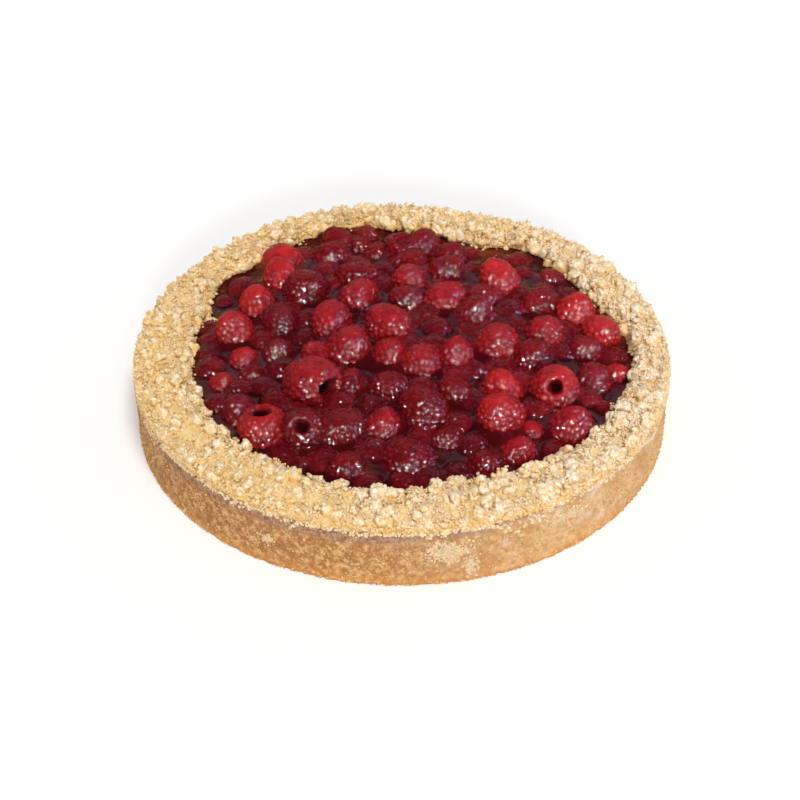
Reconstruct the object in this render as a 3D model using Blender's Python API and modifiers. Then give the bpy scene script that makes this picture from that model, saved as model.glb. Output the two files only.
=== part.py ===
"""Raspberry crumble tart, built as the three things that it is baked from.

A shortcrust case holds a raspberry filling that has set round whole berries, and a border of
butter crumble lies on the case's rim and on the edge of the filling. Metres, +Z up. The origin is
the middle of the flat base, and -Y is the front.
"""
import math
import random

import bmesh
import bpy
from mathutils import Euler, Matrix, Vector, noise

MM = 0.001

# Driving dimensions of the pastry case
CASE_RADIUS = 134.0 * MM
CASE_HEIGHT = 30.6 * MM
WALL_THICKNESS = 6.3 * MM
BASE_THICKNESS = 5.0 * MM
FOOT_ROUNDING = 1.6 * MM
RIM_ROUNDING = 0.9 * MM
INNER_CORNER = 3.0 * MM
WALL_UNEVENNESS = 0.45 * MM
WALL_WAVES_PER_METRE = 42.0

# Driving dimensions of the filling
GEL_DOME_RADIUS = 104.0 * MM
GEL_DOME_RISE = 8.0 * MM
GEL_DOME_RINGS = 3

# Driving dimensions of the crumble border
CRUMBLE_RADIUS = 133.2 * MM
CRUMBLE_RISE = 7.4 * MM
CRUMBLE_RIPPLE = 1.4 * MM
CRUMBLE_RIPPLES_ROUND = 9.0
CRUMBLE_LUMPS = 1.4 * MM
CRUMBLE_LUMPS_PER_METRE = 90.0
CRUMBLE_STEPS = 72
CLUMP_COUNT = 80
CLUMP_SIZES = (4.4 * MM, 7.2 * MM)
CLUMP_SUNK = 0.55
CLUMP_LOWEST = 0.3 * MM
CLUMP_JITTER = (0.86, 1.04)
CLUMP_MARGIN = 0.45

# The crumble's cross-section, as shares of its width from the inner edge and of its rise
CRUMBLE_ACROSS = (0.0, 0.0, 0.14, 0.32, 0.52, 0.72, 0.88, 0.97, 1.0, 0.99)
CRUMBLE_UPWARDS = (0.0, 0.25, 0.55, 0.88, 1.0, 0.97, 0.90, 0.62, 0.25, 0.0)

# Clearance between neighbours, and the fineness of every turned shape
GAP = 0.3 * MM
TURN_STEPS = 60
MERGE_DISTANCE = 0.01 * MM

# The crumble's inner edge wanders: turn from +X in degrees, and radius in millimetres
CRUMBLE_INNER_EDGE = (
    (0, 116), (24, 111), (40, 112), (53, 119), (68, 109), (84, 115), (98, 123), (111, 123),
    (125, 116), (145, 115), (164, 108), (182, 105), (208, 106), (240, 105), (268, 110),
    (290, 105), (312, 112), (338, 114),
)

# Raspberries heaped on top of the rest: x, y and radius in millimetres
HEAPED_BERRIES = (
    (-64, 63, 9.0), (4, 56, 8.0), (51, 59, 9.5), (-75, 37, 8.5), (2, 35, 7.5), (90, 32, 9.0),
    (-85, 14, 9.0), (-62, 19, 8.5), (-36, 16, 9.0), (-7, 11, 10.0), (72, 9, 9.0), (103, 14, 9.0),
    (-26, -8, 9.5), (27, -12, 7.5), (46, -57, 10.0), (10, -55, 10.0), (25, -40, 6.5),
)

# Raspberries that stand half out of the gel
PROUD_BERRIES = (
    (-38, 87, 9.0), (-65, 81, 10.5), (-24, 61, 9.5), (24, 68, 9.0), (-50, 50, 11.5), (-22, 42, 9.0),
    (23, 39, 9.5), (71, 38, 9.0), (38, 25, 9.5), (48, 1, 10.0), (10, -17, 9.0), (48, -36, 9.0),
    (-28, -65, 10.0), (80, -60, 10.0), (-25, -90, 7.5), (64, -9, 9.0), (-6, -11, 8.0),
    (81, 68, 6.0), (-25, -33, 6.5), (-42, -11, 7.5),
)

# Raspberries that lie deeper, with only their tops clear
LOW_BERRIES = (
    (-37, 111, 9.5), (13, 111, 10.5), (25, 87, 10.0), (4, 80, 9.0), (-6, -35, 9.5), (-9, -62, 8.5),
    (2, -82, 11.0), (38, -86, 8.0), (54, -77, 8.0), (43, 44, 9.0), (92, 3, 9.0), (95, -21, 9.0),
    (-77, -48, 9.0), (-14, 92, 6.5), (-23, 103, 6.5), (21, -70, 6.5), (-88, -25, 6.0),
    (-73, -21, 6.0), (111, -17, 6.5), (-79, -7, 6.5), (-62, -3, 7.5), (61, -62, 5.0),
    (-22, 121, 7.5), (109, 41, 6.0),
)

# Raspberries that the gel nearly covers
SUNKEN_BERRIES = (
    (-85, 61, 11.0), (65, 88, 9.0), (53, 85, 8.0), (18, 14, 8.5), (-97, 11, 7.0), (36, -20, 6.5),
    (-103, 53, 6.0), (-48, -85, 6.0), (0, -97, 7.0), (71, -75, 6.5), (100, -44, 6.0),
)

# Raspberries that show their hollow end: x, y and radius in millimetres, the share of the radius
# above the gel, the hollow end's lean from upright and its turn from the front, both in degrees
HOLLOW_BERRIES = (
    (1, 94, 8.5, 1.0, 12, 0), (74, -32, 9.0, 1.0, 54, -6), (-64, -62, 9.0, 1.0, 20, 0),
    (-46, -66, 8.5, 1.0, 39, 0), (-44, -35, 12.0, 1.28, 84, 60),
)

# How much of its radius each kind of raspberry shows above the gel
HEAPED_SHARE = 1.28
PROUD_SHARE = 0.95
LOW_SHARE = 0.62
SUNKEN_SHARE = 0.46

# Seeded rule that fills the room left between the placed raspberries
FILL_SEED = 11
FILL_TRIES = 700
FILL_SIZES = (7.4 * MM, 9.4 * MM)
FILL_SPACING = 0.78
FILL_REACH = 1.12

BERRY_LENGTH = 1.12
BERRY_FACET_ALLOWANCE = 1.06
BERRY_TAPER = 0.18
BERRY_TO_CRUMBLE = 0.8 * MM

# Sides and rings of each kind of raspberry, and how far it may lean, in radians
HOLLOW_FACETS = (9, 8)
PLACED_FACETS = (8, 6)
SUNKEN_FACETS = (7, 4)
PLACED_LEAN = (0.2, 1.5)
SUNKEN_LEAN = (0.0, 0.4)

# The hollow end, as shares of the raspberry's radius: its floor, its lip and how far that narrows
PIT_FLOOR = -0.30
PIT_LIP = -0.80
PIT_LIP_WIDTH = 0.92


def clear_scene():
    """Remove every object that the scene starts with."""
    for obj in list(bpy.data.objects):
        bpy.data.objects.remove(obj, do_unlink=True)


def new_collection(name):
    """Make a collection in the scene and return it."""
    collection = bpy.data.collections.new(name)
    bpy.context.scene.collection.children.link(collection)
    return collection


def finish_material(name, colour, roughness):
    """Return a Principled material with one colour."""
    material = bpy.data.materials.new(name)
    material.use_nodes = True
    shader = material.node_tree.nodes["Principled BSDF"]
    shader.inputs["Base Color"].default_value = (*colour, 1.0)
    shader.inputs["Roughness"].default_value = roughness
    return material


def add_object(name, mesh, collection):
    """Link a mesh as a new object in a collection."""
    obj = bpy.data.objects.new(name, mesh)
    collection.objects.link(obj)
    return obj


def bake_modifiers(obj):
    """Put the evaluated mesh in place of the object's own, and drop its modifiers."""
    graph = bpy.context.evaluated_depsgraph_get()
    mesh = bpy.data.meshes.new_from_object(obj.evaluated_get(graph))
    obj.modifiers.clear()
    obj.data = mesh
    mesh.name = obj.name


def turned(name, profile, collection, steps=TURN_STEPS, closed=False):
    """Turn a profile of (radius, height) pairs about Z and return the object.

    The profile runs down its outer side. A closed profile makes a ring.
    """
    bm = bmesh.new()
    points = [bm.verts.new((radius, 0.0, height)) for radius, height in profile]
    for start, end in zip(points, points[1:]):
        bm.edges.new((start, end))
    if closed:
        bm.edges.new((points[-1], points[0]))
    mesh = bpy.data.meshes.new(name)
    bm.to_mesh(mesh)
    bm.free()
    obj = add_object(name, mesh, collection)
    screw = obj.modifiers.new("Turn", "SCREW")
    screw.axis = "Z"
    screw.angle = math.tau
    screw.steps = steps
    screw.render_steps = steps
    screw.use_merge_vertices = True
    screw.merge_threshold = MERGE_DISTANCE
    bake_modifiers(obj)
    return obj


def fuse(core, pieces):
    """Join every object of a collection to the core in one Boolean union, then remove them."""
    union = core.modifiers.new("Fuse", "BOOLEAN")
    union.operation = "UNION"
    union.operand_type = "COLLECTION"
    union.collection = pieces
    union.solver = "EXACT"
    bake_modifiers(core)
    for piece in list(pieces.objects):
        bpy.data.objects.remove(piece, do_unlink=True)
    bpy.data.collections.remove(pieces)


def keep_main_body(obj):
    """Delete loose scraps and sealed pockets, so that only the largest shell is left."""
    bm = bmesh.new()
    bm.from_mesh(obj.data)
    bm.faces.ensure_lookup_table()
    unseen = set(bm.faces)
    shells = []
    while unseen:
        shell = set()
        edge_of_search = [unseen.pop()]
        while edge_of_search:
            face = edge_of_search.pop()
            shell.add(face)
            linked = {other for edge in face.edges for other in edge.link_faces}
            fresh = linked & unseen
            unseen -= fresh
            edge_of_search.extend(fresh)
        shells.append(shell)
    largest = max(shells, key=len)
    scraps = [face for face in bm.faces if face not in largest]
    bmesh.ops.delete(bm, geom=scraps, context="FACES")
    bm.to_mesh(obj.data)
    bm.free()


def crumble_inner_radius(angle):
    """Radius of the crumble's inner edge at a turn from +X, eased between its named points."""
    ripple = CRUMBLE_RIPPLE * noise.noise(
        Vector((math.cos(angle), math.sin(angle), 0.0)) * CRUMBLE_RIPPLES_ROUND
    )
    degrees = math.degrees(angle) % 360.0
    knots = CRUMBLE_INNER_EDGE + ((360 + CRUMBLE_INNER_EDGE[0][0], CRUMBLE_INNER_EDGE[0][1]),)
    for (start, near), (end, far) in zip(knots, knots[1:]):
        if start <= degrees <= end:
            share = (degrees - start) / (end - start)
            eased = 0.5 - 0.5 * math.cos(math.pi * share)
            return (near + (far - near) * eased) * MM + ripple
    return CRUMBLE_INNER_EDGE[0][1] * MM + ripple


def gel_height(radius):
    """Height of the gel's surface: a low dome inside a flat shoulder at the rim's level."""
    share = min(radius / GEL_DOME_RADIUS, 1.0)
    return CASE_HEIGHT + GEL_DOME_RISE * (1.0 - share * share)


def arc_points(middle_r, middle_z, radius, start, end, count):
    """Points on an arc in the (radius, height) plane, from start to end degrees."""
    points = []
    for index in range(count + 1):
        angle = math.radians(start + (end - start) * index / count)
        points.append((middle_r + radius * math.cos(angle), middle_z + radius * math.sin(angle)))
    return points


def build_case(collection):
    """The pastry case: a flat base and an upright wall with soft corners."""
    inside = CASE_RADIUS - WALL_THICKNESS
    profile = [(0.0, BASE_THICKNESS)]
    profile += arc_points(inside - INNER_CORNER, BASE_THICKNESS + INNER_CORNER, INNER_CORNER, -90, 0, 2)
    profile.append((inside, CASE_HEIGHT))
    profile += arc_points(
        CASE_RADIUS - RIM_ROUNDING, CASE_HEIGHT - RIM_ROUNDING, RIM_ROUNDING, 90, 0, 2
    )
    profile.append((CASE_RADIUS, CASE_HEIGHT * 0.5))
    profile += arc_points(CASE_RADIUS - FOOT_ROUNDING, FOOT_ROUNDING, FOOT_ROUNDING, 0, -90, 2)
    profile.append((0.0, 0.0))
    case = turned("pastry_case", profile, collection)
    for vertex in case.data.vertices:
        place = vertex.co
        radius = math.hypot(place.x, place.y)
        on_side = radius > CASE_RADIUS - 0.5 * RIM_ROUNDING
        if on_side:
            dent = WALL_UNEVENNESS * noise.noise(place * WALL_WAVES_PER_METRE)
            place.xy *= (radius - abs(dent)) / radius
    return case


def build_gel(collection):
    """The set gel that fills the case, with a low dome inside a flat shoulder."""
    inside = CASE_RADIUS - WALL_THICKNESS - GAP
    floor = BASE_THICKNESS + GAP
    profile = []
    for ring in range(GEL_DOME_RINGS + 1):
        radius = GEL_DOME_RADIUS * ring / GEL_DOME_RINGS
        profile.append((radius, gel_height(radius)))
    profile.append((inside, CASE_HEIGHT))
    profile += arc_points(inside - INNER_CORNER, floor + INNER_CORNER, INNER_CORNER, 0, -90, 2)
    profile.append((0.0, floor))
    return turned("raspberry_filling", profile, collection)


def pulled_inside(x, y, radius, share):
    """Move a berry's place towards the middle until its part above the gel clears the crumble."""
    reach = math.hypot(x, y)
    angle = math.atan2(y, x)
    half_width = radius / max(reach, radius)
    edge = min(
        crumble_inner_radius(angle + turn * half_width) for turn in (-1.0, -0.5, 0.0, 0.5, 1.0)
    )
    shown = math.sqrt(1.0 - (1.0 - min(share, 1.0)) ** 2)
    furthest = edge - shown * radius * BERRY_LENGTH - BERRY_TO_CRUMBLE
    if reach <= furthest:
        return x, y
    return x * furthest / reach, y * furthest / reach


def berry_places():
    """List every berry that keeps its hollow end hidden, as (x, y, radius, share above the gel)."""
    named = (
        (HEAPED_BERRIES, HEAPED_SHARE),
        (PROUD_BERRIES, PROUD_SHARE),
        (LOW_BERRIES, LOW_SHARE),
        (SUNKEN_BERRIES, SUNKEN_SHARE),
    )
    berries = []
    for group, share in named:
        for x, y, radius in group:
            place = pulled_inside(x * MM, y * MM, radius * MM, share)
            berries.append((*place, radius * MM, share))
    taken = berries + [(x * MM, y * MM, radius * MM) for x, y, radius, *_ in HOLLOW_BERRIES]
    draw = random.Random(FILL_SEED)
    for _ in range(FILL_TRIES):
        angle = draw.uniform(0.0, math.tau)
        reach = GEL_DOME_RADIUS * FILL_REACH * math.sqrt(draw.random())
        radius = draw.uniform(*FILL_SIZES)
        x, y = pulled_inside(reach * math.cos(angle), reach * math.sin(angle), radius, SUNKEN_SHARE)
        crowded = any(
            math.hypot(x - other[0], y - other[1]) < FILL_SPACING * (radius + other[2])
            for other in taken
        )
        if not crowded:
            berries.append((x, y, radius, SUNKEN_SHARE))
            taken.append(berries[-1])
    return berries


def berry_mesh(radius, facets, hollow=False):
    """One raspberry as a blunt cone on Z, its wide end down, with a pit there if it is hollow."""
    sides, rings = facets
    lowest_ring = -math.cos(math.pi / rings)
    bm = bmesh.new()
    bmesh.ops.create_uvsphere(bm, u_segments=sides, v_segments=rings, radius=1.0)
    for vertex in bm.verts:
        height = vertex.co.z
        vertex.co.xy *= 1.0 - BERRY_TAPER * height
        if hollow and height < -1.0 + MERGE_DISTANCE:
            vertex.co.z = PIT_FLOOR
        elif hollow and height < lowest_ring + MERGE_DISTANCE:
            vertex.co.xy *= PIT_LIP_WIDTH
            vertex.co.z = PIT_LIP
        vertex.co.z *= BERRY_LENGTH
    size = radius * BERRY_FACET_ALLOWANCE
    bmesh.ops.scale(bm, vec=(size, size, size), verts=bm.verts)
    mesh = bpy.data.meshes.new("berry")
    bm.to_mesh(mesh)
    bm.free()
    return mesh


def seat_berry(mesh, x, y, radius, share, turn, pieces):
    """Stand one berry in the gel, so that a share of its radius is above the surface."""
    berry = add_object("berry", mesh, pieces)
    height = gel_height(math.hypot(x, y)) - radius * (1.0 - share)
    berry.matrix_world = Matrix.Translation((x, y, height)) @ turn.to_matrix().to_4x4()


def build_filling(collection):
    """The filling: the gel with its raspberries fused on, out to their uneven tops."""
    filling = build_gel(collection)
    pieces = new_collection("berries_to_fuse")
    draw = random.Random(FILL_SEED)
    for x, y, radius, share in berry_places():
        sunken = share == SUNKEN_SHARE
        mesh = berry_mesh(radius, SUNKEN_FACETS if sunken else PLACED_FACETS)
        lean = draw.uniform(*(SUNKEN_LEAN if sunken else PLACED_LEAN))
        turn = Euler((lean, 0.0, draw.uniform(0.0, math.tau)))
        seat_berry(mesh, x, y, radius, share, turn, pieces)
    for x, y, radius, share, lean, turn in HOLLOW_BERRIES:
        mesh = berry_mesh(radius * MM, HOLLOW_FACETS, hollow=True)
        turn = Euler((math.pi + math.radians(lean), 0.0, math.radians(turn)))
        seat_berry(mesh, x * MM, y * MM, radius * MM, share, turn, pieces)
    bpy.context.view_layer.update()
    fuse(filling, pieces)
    keep_main_body(filling)
    return filling


def crumble_surface(share, angle):
    """A point on the crumble's upper face: share runs from 0 at its inner edge to 1 outside."""
    inner = crumble_inner_radius(angle)
    radius = inner + share * (CRUMBLE_RADIUS - inner)
    rise = 0.0
    steps = list(zip(CRUMBLE_ACROSS, CRUMBLE_UPWARDS))
    for (start, low), (end, high) in zip(steps, steps[1:]):
        if start < end and start <= share <= end:
            rise = CRUMBLE_RISE * (low + (high - low) * (share - start) / (end - start))
    return Vector((radius * math.cos(angle), radius * math.sin(angle), CASE_HEIGHT + GAP + rise))


def build_crumble_ring(collection):
    """The crumble's main ring, lumpy above and flat where it lies on the rim and the gel."""
    profile = [(1.0 + share, rise) for share, rise in zip(CRUMBLE_ACROSS, CRUMBLE_UPWARDS)]
    ring = turned("crumble_border", profile, collection, CRUMBLE_STEPS, closed=True)
    for vertex in ring.data.vertices:
        place = vertex.co.copy()
        angle = math.atan2(place.y, place.x)
        share = math.hypot(place.x, place.y) - 1.0
        inner = crumble_inner_radius(angle)
        radius = inner + share * (CRUMBLE_RADIUS - inner)
        height = CASE_HEIGHT + GAP + place.z * CRUMBLE_RISE
        if place.z > 0.5:
            at = Vector((radius * math.cos(angle), radius * math.sin(angle), 0.0))
            height += CRUMBLE_LUMPS * noise.noise(at * CRUMBLE_LUMPS_PER_METRE)
        vertex.co = (radius * math.cos(angle), radius * math.sin(angle), height)
    return ring


def clump_mesh(place, size, draw):
    """One rough clump at its place, flattened where it would reach below the crumble's underside."""
    bm = bmesh.new()
    bmesh.ops.create_icosphere(bm, subdivisions=1, radius=size)
    turn = Euler([draw.uniform(0.0, math.tau) for _ in range(3)])
    bmesh.ops.rotate(bm, cent=(0.0, 0.0, 0.0), matrix=turn.to_matrix(), verts=bm.verts)
    for vertex in bm.verts:
        vertex.co = place + vertex.co * draw.uniform(*CLUMP_JITTER)
        vertex.co.z = max(vertex.co.z, CASE_HEIGHT + GAP + CLUMP_LOWEST)
    mesh = bpy.data.meshes.new("clump")
    bm.to_mesh(mesh)
    bm.free()
    return mesh


def build_crumble(collection):
    """The crumble border: the lumpy ring with its larger clumps fused on."""
    ring = build_crumble_ring(collection)
    pieces = new_collection("clumps_to_fuse")
    draw = random.Random(FILL_SEED)
    for index in range(CLUMP_COUNT):
        size = draw.uniform(*CLUMP_SIZES)
        angle = math.tau * (index + draw.uniform(-0.5, 0.5)) / CLUMP_COUNT
        room = CRUMBLE_RADIUS - crumble_inner_radius(angle)
        margin = min(CLUMP_MARGIN, size / room)
        place = crumble_surface(draw.uniform(margin, 1.0 - margin), angle)
        place.z -= CLUMP_SUNK * size
        add_object(f"clump_{index}", clump_mesh(place, size, draw), pieces)
    fuse(ring, pieces)
    keep_main_body(ring)
    return ring


def main():
    """Build the tart's three solids."""
    clear_scene()
    tart = new_collection("raspberry_crumble_tart")
    case = build_case(tart)
    case.data.materials.append(finish_material("baked_shortcrust", (0.66, 0.42, 0.20), 0.75))
    filling = build_filling(tart)
    filling.data.materials.append(finish_material("raspberries_in_gel", (0.36, 0.02, 0.04), 0.25))
    crumble = build_crumble(tart)
    crumble.data.materials.append(finish_material("butter_crumble", (0.88, 0.70, 0.42), 0.85))


main()
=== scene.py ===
"""Looks of the raspberry crumble tart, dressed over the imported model.

The tart is baked from three things: a shortcrust case, a raspberry filling that has set round whole
berries, and a border of butter crumble. Each has a class here that holds its sizes, builds its
pieces and gives them their finish. Metres, +Z up, and -Y is the front.
"""
import logging
import math
import random
from collections.abc import Iterator, Sequence
from dataclasses import dataclass, field
from enum import Enum

import bmesh
import bpy
import numpy as np
from mathutils import Euler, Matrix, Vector, noise


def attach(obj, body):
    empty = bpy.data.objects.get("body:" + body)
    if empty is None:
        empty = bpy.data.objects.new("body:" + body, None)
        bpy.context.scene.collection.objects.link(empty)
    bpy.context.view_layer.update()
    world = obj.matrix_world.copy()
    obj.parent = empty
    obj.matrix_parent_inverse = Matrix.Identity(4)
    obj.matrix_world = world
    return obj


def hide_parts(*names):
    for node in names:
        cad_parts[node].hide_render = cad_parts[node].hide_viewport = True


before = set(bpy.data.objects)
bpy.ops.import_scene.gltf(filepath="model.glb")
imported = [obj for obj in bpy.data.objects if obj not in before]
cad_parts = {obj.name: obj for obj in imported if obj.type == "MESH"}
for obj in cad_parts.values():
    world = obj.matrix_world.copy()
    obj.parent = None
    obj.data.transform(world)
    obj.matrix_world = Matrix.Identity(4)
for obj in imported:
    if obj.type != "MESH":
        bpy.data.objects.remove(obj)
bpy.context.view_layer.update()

MM = 0.001
GOLDEN_TURN = math.pi * (3.0 - math.sqrt(5.0))
Pair = tuple[float, float]
Colour = tuple[float, float, float]
Socket = bpy.types.NodeSocket
log = logging.getLogger("tart")


# Shared sizes and small tools


def smooth(low: float, high: float, values: np.ndarray) -> np.ndarray:
    """Return an eased step of values, from 0 at low to 1 at high."""
    share = np.clip((values - low) / (high - low), 0.0, 1.0)
    return share * share * (3.0 - 2.0 * share)


def toward(colour: np.ndarray, end: Colour, share: float) -> np.ndarray:
    """Return a colour mixed with another by a share."""
    return colour + (np.array(end) - colour) * share


def blend(start: np.ndarray, end: Colour | np.ndarray, share: np.ndarray) -> np.ndarray:
    """Return rows of colours, each mixed by its share with one colour or with its row of others."""
    return start + (np.asarray(end) - start) * share[:, None]


def any_tilt(draw: random.Random) -> np.ndarray:
    """Return a random turn as a matrix."""
    return np.array(Euler([draw.uniform(0.0, math.tau) for _ in range(3)]).to_matrix())


class Ripple:
    """Seamless gradient noise for whole arrays of points."""

    scramblers: tuple[int, int, int] = (73856093, 19349663, 83492791)
    strength: float = 1.6

    def __init__(self, seed: int = 1, size: int = 4096) -> None:
        """Draw the noise's random slopes.

        Args:
            seed: Seed of the slopes.
            size: How many slopes there are, a power of two.
        """
        slopes = np.random.default_rng(seed).normal(size=(size, 3))
        self.slopes = slopes / np.linalg.norm(slopes, axis=1, keepdims=True)
        self.mask = size - 1

    def layer(self, spots: np.ndarray) -> np.ndarray:
        """Return one layer of noise, whose features are 1 apart.

        Args:
            spots: Points, one row each.

        Returns:
            Noise between about -1 and 1.
        """
        whole = np.floor(spots).astype(np.int64)
        part = spots - whole
        eased = part**3 * (part * (part * 6.0 - 15.0) + 10.0)
        total = np.zeros(len(spots))
        for corner in np.ndindex(2, 2, 2):
            key = np.bitwise_xor.reduce((whole + corner) * self.scramblers, axis=1)
            slope = self.slopes[key & self.mask]
            weight = np.prod(np.where(corner, eased, 1.0 - eased), axis=1)
            total += weight * np.einsum("ij,ij->i", slope, part - corner)
        return self.strength * total


RIPPLE = Ripple()


def noise_at(points: np.ndarray, scale: float, octaves: int = 1, shift: float = 7.3) -> np.ndarray:
    """Read seamless noise at points.

    Args:
        points: Points, one row each.
        scale: Size of the noise's features, in the points' own unit.
        octaves: How many finer layers are added up.
        shift: How far each layer lies from the one before.

    Returns:
        Noise between about -1 and 1, one value for each point.
    """
    total = np.zeros(len(points))
    for octave in range(octaves):
        total += RIPPLE.layer(points * (2.0**octave / scale) + shift * octave) * 0.5**octave
    return total


@dataclass(frozen=True)
class TartSizes:
    """The sizes that the three baked things share, in metres."""

    case_radius: float = 134.0 * MM
    case_height: float = 30.6 * MM
    wall: float = 6.3 * MM
    base: float = 5.0 * MM
    gap: float = 0.3 * MM
    inner_corner: float = 3.0 * MM
    dome_radius: float = 104.0 * MM
    dome_rise: float = 8.0 * MM
    crumble_radius: float = 133.2 * MM

    def dome(self, reach: np.ndarray) -> np.ndarray:
        """Return the bare gel's height at distances from the tart's middle."""
        share = np.minimum(reach / self.dome_radius, 1.0)
        return self.case_height + self.dome_rise * (1.0 - share * share)


@dataclass
class CrumbleEdge:
    """The crumble's inner edge, which wanders between knots of (degrees from +X, radius in mm)."""

    knots: tuple[tuple[int, int], ...] = (
        (0, 116), (24, 111), (40, 112), (53, 119), (68, 109), (84, 115), (98, 123), (111, 123),
        (125, 116), (145, 115), (164, 108), (182, 105), (208, 106), (240, 105), (268, 110),
        (290, 105), (312, 112), (338, 114),
    )
    ripple: float = 1.4 * MM
    ripple_rate: float = 9.0
    readings: int = 721
    turns: np.ndarray = field(init=False)
    radii: np.ndarray = field(init=False)

    def __post_init__(self) -> None:
        """Read the edge once at every half degree."""
        self.turns = np.linspace(0.0, math.tau, self.readings)
        self.radii = np.array([self._eased(turn) for turn in self.turns])

    def _eased(self, turn: float) -> float:
        """Work out the edge's radius at one turn, eased between the two nearest knots.

        Args:
            turn: The turn from +X in radians.

        Returns:
            The radius, with the ripple.
        """
        way = Vector((math.cos(turn), math.sin(turn), 0.0))
        wave = self.ripple * noise.noise(way * self.ripple_rate)
        degrees = math.degrees(turn) % 360.0
        knots = self.knots + ((360 + self.knots[0][0], self.knots[0][1]),)
        for (start, near), (end, far) in zip(knots, knots[1:]):
            if start <= degrees <= end:
                share = (degrees - start) / (end - start)
                eased = 0.5 - 0.5 * math.cos(math.pi * share)
                return (near + (far - near) * eased) * MM + wave
        return self.knots[0][1] * MM + wave

    def radius(self, turn: np.ndarray | float) -> np.ndarray | float:
        """Return the edge's radius at turns from +X in radians."""
        return np.interp(np.mod(turn, math.tau), self.turns, self.radii)


SIZES = TartSizes()
EDGE = CrumbleEdge()


def seat_on_tart(piece: bpy.types.Object, material: bpy.types.Material, node: str, slot: str) -> None:
    """Give a piece its material, and let it ride on the tart and stand for one of its solids.

    Args:
        piece: The finished shape.
        material: Its material.
        node: The solid that the piece stands for.
        slot: The record's material slot of that solid; not used.
    """
    piece.data.materials.append(material)
    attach(piece, "root")
    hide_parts(node)
    log.info("%s: %d faces", piece.name, len(piece.data.polygons))


def piece_from(name: str, bm: bmesh.types.BMesh, smooth_faces: bool = True) -> bpy.types.Object:
    """Turn a bmesh into a linked object with its faces outwards.

    Args:
        name: Name of the new object.
        bm: The shape, which is freed here.
        smooth_faces: True to shade its faces smooth.

    Returns:
        The new object, at the origin.
    """
    bmesh.ops.recalc_face_normals(bm, faces=bm.faces)
    for face in bm.faces:
        face.smooth = smooth_faces
    mesh = bpy.data.meshes.new(name)
    bm.to_mesh(mesh)
    bm.free()
    piece = bpy.data.objects.new(name, mesh)
    bpy.context.scene.collection.objects.link(piece)
    return piece


def paint(piece: bpy.types.Object, layer: str, colours: np.ndarray) -> None:
    """Store one colour for each vertex of a piece.

    Args:
        piece: The object to paint.
        layer: Name of the colour attribute.
        colours: Linear colours, one row for each vertex.
    """
    attribute = piece.data.color_attributes.new(layer, "FLOAT_COLOR", "POINT")
    opaque = np.ones((len(colours), 4))
    opaque[:, :3] = np.clip(colours, 0.0, 1.0)
    attribute.data.foreach_set("color", opaque.ravel())


def spun(
    profile: Sequence[Pair], steps: int, ring: bool = False, cuts: int = 0
) -> bmesh.types.BMesh:
    """Spin a profile of (radius, height) pairs about Z.

    Args:
        profile: The profile's points in order.
        steps: Steps of the full turn.
        ring: True where the profile's end joins its start.
        cuts: How often every edge is cut afterwards, for a finer skin.

    Returns:
        The spun shape, with its seam and poles closed.
    """
    bm = bmesh.new()
    points = [bm.verts.new((radius, 0.0, height)) for radius, height in profile]
    pairs = list(zip(points, points[1:]))
    if ring:
        pairs.append((points[-1], points[0]))
    edges = [bm.edges.new(pair) for pair in pairs]
    bmesh.ops.spin(
        bm, geom=points + edges, cent=(0.0, 0.0, 0.0), axis=(0.0, 0.0, 1.0), angle=math.tau,
        steps=steps, use_merge=True, use_duplicate=False,
    )
    bmesh.ops.remove_doubles(bm, verts=bm.verts, dist=0.005 * MM)
    if cuts:
        bmesh.ops.subdivide_edges(bm, edges=bm.edges, cuts=cuts, use_grid_fill=True)
    return bm


def arc(
    middle: Pair, radius: float, start: float, end: float, count: int
) -> list[Pair]:
    """Return (radius, height) pairs on an arc, in count steps from a start to an end in degrees."""
    turns = [math.radians(start + (end - start) * step / count) for step in range(count + 1)]
    return [(middle[0] + radius * math.cos(t), middle[1] + radius * math.sin(t)) for t in turns]


def coordinates(bm: bmesh.types.BMesh) -> np.ndarray:
    """Return every vertex of a bmesh as one row of an array."""
    return np.array([vertex.co[:] for vertex in bm.verts])


def move_to(bm: bmesh.types.BMesh, points: np.ndarray) -> None:
    """Put every vertex of a bmesh at its row of an array."""
    for vertex, point in zip(bm.verts, points):
        vertex.co = point


@dataclass
class Pattern:
    """One small shape as arrays, for use in a batch."""

    points: np.ndarray
    faces: np.ndarray

    @classmethod
    def ball(cls, subdivisions: int) -> "Pattern":
        """Return an evenly divided round pattern of radius 1."""
        return cls.fine_above(subdivisions, 0, 1.0)

    @classmethod
    def fine_above(cls, subdivisions: int, rounds: int, lowest: float) -> "Pattern":
        """Return a round pattern of radius 1 whose upper part is divided more finely.

        Args:
            subdivisions: How finely the whole ball is divided.
            rounds: How often the upper part is divided again.
            lowest: Height that the finer part starts at.

        Returns:
            The pattern.
        """
        bm = bmesh.new()
        bmesh.ops.create_icosphere(bm, subdivisions=subdivisions, radius=1.0)
        for _ in range(rounds):
            upper = [edge for edge in bm.edges if min(vertex.co.z for vertex in edge.verts) > lowest]
            bmesh.ops.subdivide_edges(bm, edges=upper, cuts=1)
            for vertex in bm.verts:
                vertex.co.normalize()
        bmesh.ops.triangulate(bm, faces=bm.faces)
        bm.verts.index_update()
        faces = np.array([[vertex.index for vertex in face.verts] for face in bm.faces])
        pattern = cls(coordinates(bm), faces)
        bm.free()
        return pattern


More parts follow.
